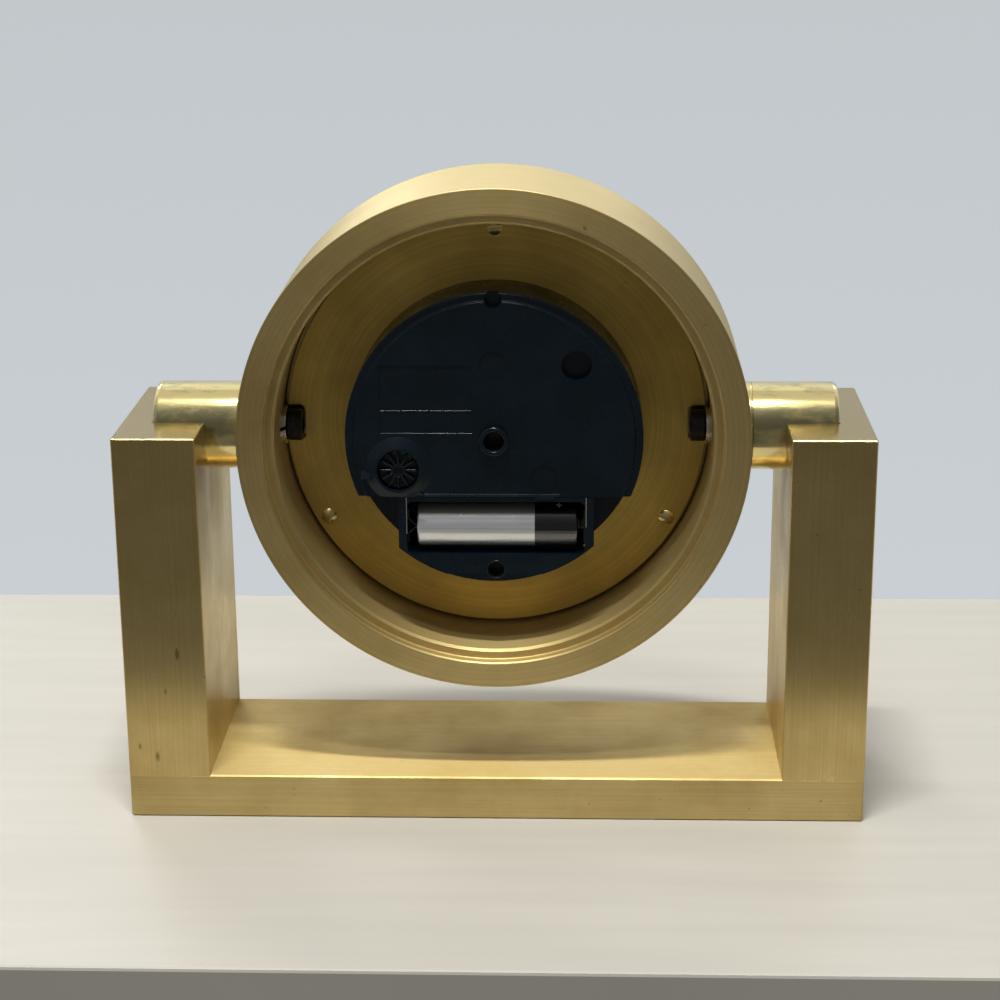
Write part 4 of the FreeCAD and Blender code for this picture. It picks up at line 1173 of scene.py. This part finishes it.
class CLOCK_OT_battery(bpy.types.Operator):
    """Makes the cell in its plain sleeve and the bent tabs of its contacts"""
    bl_idname = "clock.battery"
    bl_label = "Battery"

    def execute(self, context):
        start = seen(CELL_START, CELL_UP, CELL_DEPTH)
        shell = [(0, 0.3), (6.0, 0.3), (6.3, 0), (6.9, 0.1), (CELL_RADIUS, 0.5), (CELL_RADIUS, 48.7),
                 (6.7, 49.2), (5.9, 49.3), (5.6, 49.0), (0, 49.0)]
        sleeve = smooth(turn("cell_sleeve", rounded(shell, 0.2, 2, ends=False), start, (1, 0, 0), 96))
        finish_piece(sleeve, "battery", "battery_case", wrapped_cell("cell_sleeve"), "battery")
        cap = [(0, -1.1), (2.6, -1.1), (2.75, 0.0), (3.4, 0.35), (0, 0.35)]
        nub = turn("cell_nub", rounded(cap, 0.3, 3, ends=False), start, (1, 0, 0), 64)
        steel = bright_steel("contact_nickel", (0.62, 0.61, 0.58), 0.2)
        # Painted shade: the contacts and the cell's nub are nickel-plated steel painted near black, because
        # they sit in shade.
        shaded_steel = bright_steel("contact_shaded", (0.07, 0.07, 0.068), 0.35)
        finish_piece(smooth(nub), "battery", "contact_steel", shaded_steel)
        dress_node("negative_contact", shaded_steel)
        dress_node("positive_contact", shaded_steel)
        bars = [brick_seen("plus", PLUS_RIGHT - across, PLUS_RIGHT + across, CELL_UP - up, CELL_UP + up,
                           PLUS_REAR, PLUS_FRONT)
                for across, up in ((PLUS_ARM, PLUS_HALF), (PLUS_HALF, PLUS_ARM))]
        plus = turn_about(weld("cell_plus", bars), seen(PLUS_RIGHT, CELL_UP, CELL_DEPTH), "X", PLUS_TURN)
        finish_piece(plus, "battery", "battery_case", lacquer("plus_ink", (0.62, 0.62, 0.62)))
        tabs = [break_edges(brick_seen("contact_tab", left, right, bottom, TAB_TOP, COVER_REAR - 0.1,
                                       COVER_REAR + 0.6), 0.08) for left, right, bottom in CONTACT_TABS]
        finish_piece(weld("contact_tabs", tabs), "drum", "contact_steel", steel)
        return {"FINISHED"}


# ---- dial side ---------------------------------------------------------------
DIAL_FACING = math.pi / 2
PRINT_LIFT, PRINT_THICK = 0.03, 0.02
NUMERAL_CIRCLE = 45.5
TRACK_INNER, TRACK_OUTER, TICK_HALF = 56.8, 57.9, 0.15
MARKER_INNER, MARKER_OUTER, MARKER_HALF, QUARTER_HALF, MARKER_RISE = 51.6, 56.6, 0.8, 1.5, 0.8
DAYS, DAY_SHOWN, WINDOW_HOUR = 31, 8, 3
DATE_CIRCLE, DATE_HEIGHT = 38.0, 4.2
WINDOW_INNER, WINDOW_OUTER, WINDOW_HALF, WINDOW_RIM = 34.8, 41.2, 2.9, 0.6


def figure(text, place, height, angle=0.0):
    """One printed figure, flat on the dial side and upright to its reader."""
    clear_bench()
    bpy.ops.object.text_add(location=place, rotation=(DIAL_FACING, angle, 0.0))
    words = bpy.context.object
    words.data.body = text
    words.data.size = height * MM
    words.data.align_x = "CENTER"
    words.data.align_y = "CENTER"
    words.data.extrude = PRINT_THICK * MM
    bpy.ops.object.convert(target="MESH")
    bpy.ops.object.transform_apply(location=True, rotation=True, scale=True)
    return bpy.context.object


def on_dial(radius, clockwise, depth):
    """Place on the dial, its angle taken clockwise from the top by someone who reads it."""
    return seen(*polar(radius, 90 + clockwise), depth)


class CLOCK_OT_dial(bpy.types.Operator):
    """Prints the dial and the date ring, and fits the hour markers and the frame of the date window"""
    bl_idname = "clock.dial"
    bl_label = "Dial"

    def execute(self, context):
        sizes, colours = context.scene.clock_sizes, context.scene.clock_colours
        ink = lacquer("dial_ink", colours.ink)
        dress_node("dial_face", enamel("dial_enamel", colours.dial))
        dress_node("date_ring", enamel("date_enamel", (0.86, 0.86, 0.83)))
        printed = DIAL_FRONT + PRINT_LIFT
        numerals = [figure(str(hour), on_dial(NUMERAL_CIRCLE, 30 * hour, printed), sizes.numeral_height)
                    for hour in range(1, 13) if hour != WINDOW_HOUR]
        finish_piece(weld("dial_numerals", numerals), "drum", "hand_black", ink)
        tick = brick_seen("minute_track", -TICK_HALF, TICK_HALF, TRACK_INNER, TRACK_OUTER, DIAL_FRONT,
                          DIAL_FRONT + 0.04)
        repeat_round(tick, 60, seen(0, 0), (0, 1, 0))
        finish_piece(tick, "drum", "hand_black", ink)
        days = []
        for place in range(DAYS):
            turned = place * 360 / DAYS
            day = 1 + (DAY_SHOWN - 1 + place) % DAYS
            spot = on_dial(DATE_CIRCLE, 30 * WINDOW_HOUR + turned, DATE_FRONT + PRINT_LIFT)
            days.append(figure(str(day), spot, DATE_HEIGHT, math.radians(turned)))
        finish_piece(weld("date_figures", days), "date_ring", "hand_black", ink)
        corners = [(-WINDOW_OUTER, -WINDOW_HALF), (-WINDOW_INNER, -WINDOW_HALF), (-WINDOW_INNER, WINDOW_HALF),
                   (-WINDOW_OUTER, WINDOW_HALF)]
        window = stamp("date_window_frame", rounded(corners, 0.4, 3), DIAL_FRONT, DIAL_FRONT + 0.25)
        opening = WINDOW_HALF - WINDOW_RIM
        carve(window, brick_seen("opening", WINDOW_RIM - WINDOW_OUTER, -WINDOW_INNER - WINDOW_RIM, -opening,
                                 opening, DIAL_FRONT - 1, DIAL_FRONT + 2))
        polish = turned_brass("marker_brass", colours.polish, colours.brass, (0.14, 0.24))
        finish_piece(smooth(break_edges(window, 0.06)), "drum", "marker_brass", polish)
        bars = []
        for hour in range(12):
            half = MARKER_HALF if hour % 3 else QUARTER_HALF
            bar = brick_seen("marker", -half, half, MARKER_INNER, MARKER_OUTER, DIAL_FRONT,
                             DIAL_FRONT + MARKER_RISE)
            break_edges(bar, 0.22)
            bars.append(turn_about(bar, seen(0, 0), "Y", 30 * hour))
        finish_piece(smooth(weld("hour_marker_bars", bars)), "drum", "marker_brass", polish, "hour_markers")
        return {"FINISHED"}


SURROUND_BORE, SURROUND_RADIUS, SURROUND_CHAMFER = 58.5, 66.4, 1.1
GLASS_RADIUS = 66.3


class CLOCK_OT_front_glass(bpy.types.Operator):
    """Turns the ring behind the glass, and the glass"""
    bl_idname = "clock.front_glass"
    bl_label = "Front glass"

    def execute(self, context):
        sizes, colours = context.scene.clock_sizes, context.scene.clock_colours
        rear, front = PLATE_FRONT + 2 * FIT, GLASS_REAR - 2 * FIT
        profile = [(SURROUND_BORE, rear), (SURROUND_RADIUS, rear), (SURROUND_RADIUS, front),
                   (SURROUND_BORE + SURROUND_CHAMFER, front), (SURROUND_BORE, front - SURROUND_CHAMFER)]
        ring = turn("surround_turned", rounded(profile, 0.2, 2), seen(0, 0), INWARD, sizes.turning_steps)
        satin = turned_brass("surround_brass", colours.brass, colours.tarnish, (0.24, 0.34))
        finish_piece(smooth(ring), "drum", "surround_brass", satin, "dial_surround")
        near, far = GLASS_REAR + FIT, GLASS_FRONT - FIT
        disc = rounded([(0, near), (GLASS_RADIUS, near), (GLASS_RADIUS, far), (0, far)], 0.3, 2, ends=False)
        glass = smooth(turn("glass_disc", disc, seen(0, 0), INWARD, sizes.turning_steps))
        finish_piece(glass, "drum", "clear_glass", clear_glass("clear_glass", (0.30, 0.33, 0.33)), "glass")
        return {"FINISHED"}


class CLOCK_OT_hands(bpy.types.Operator):
    """Lacquers the three hands"""
    bl_idname = "clock.hands"
    bl_label = "Hands"

    def execute(self, context):
        colours = context.scene.clock_colours
        black = lacquer("hand_lacquer", colours.ink)
        for node in ("hour_hand", "minute_hand", "second_hand"):
            dress_node(node, black)
        return {"FINISHED"}


class CLOCK_OT_inner_work(bpy.types.Operator):
    """Finishes the wheels and arbors inside the movement"""
    bl_idname = "clock.inner_work"
    bl_label = "Inner work"

    def execute(self, context):
        colours = context.scene.clock_colours
        acetal = moulded_plastic("acetal_white", (0.74, 0.72, 0.66), 0.35)
        red = moulded_plastic("acetal_red", (0.42, 0.03, 0.02), 0.35)
        for node in ("cannon_pinion", "hour_wheel", "date_jumper"):
            dress_node(node, acetal)
        for node in ("motion_wheel", "date_wheel"):
            dress_node(node, red)
        dress_node("seconds_arbor", bright_steel("arbor_steel", (0.6, 0.6, 0.6), 0.2))
        dress_node("centre_nut", turned_brass("nut_brass", colours.polish, colours.brass, (0.16, 0.26)))
        return {"FINISHED"}


class CLOCK_PT_panel(bpy.types.Panel):
    bl_label = "Desk clock"
    bl_idname = "CLOCK_PT_panel"
    bl_space_type = "VIEW_3D"
    bl_region_type = "UI"
    bl_category = "Clock"

    def draw(self, context):
        for group in (context.scene.clock_sizes, context.scene.clock_colours, context.scene.clock_studio):
            box = self.layout.box()
            for name in group.bl_rna.properties.keys():
                if name not in ("rna_type", "name"):
                    box.prop(group, name)
        for operator in OPERATORS:
            self.layout.operator(operator.bl_idname)


OPERATORS = (CLOCK_OT_stage, CLOCK_OT_stand, CLOCK_OT_drum, CLOCK_OT_shafts, CLOCK_OT_cap_screws,
             CLOCK_OT_dial_plate, CLOCK_OT_movement, CLOCK_OT_set_knob, CLOCK_OT_battery, CLOCK_OT_dial,
             CLOCK_OT_front_glass, CLOCK_OT_hands, CLOCK_OT_inner_work)
GROUPS = {"clock_sizes": ClockSizes, "clock_colours": ClockColours, "clock_studio": StudioValues}


def register():
    for kind in (*GROUPS.values(), *OPERATORS, CLOCK_PT_panel):
        bpy.utils.register_class(kind)
    for name, group in GROUPS.items():
        setattr(bpy.types.Scene, name, PointerProperty(type=group))


def unregister():
    for name in GROUPS:
        delattr(bpy.types.Scene, name)
    for kind in reversed((*GROUPS.values(), *OPERATORS, CLOCK_PT_panel)):
        bpy.utils.unregister_class(kind)


def main():
    register()
    for operator in OPERATORS:
        family, action = operator.bl_idname.split(".")
        getattr(getattr(bpy.ops, family), action)()


if __name__ == "__main__":
    main()
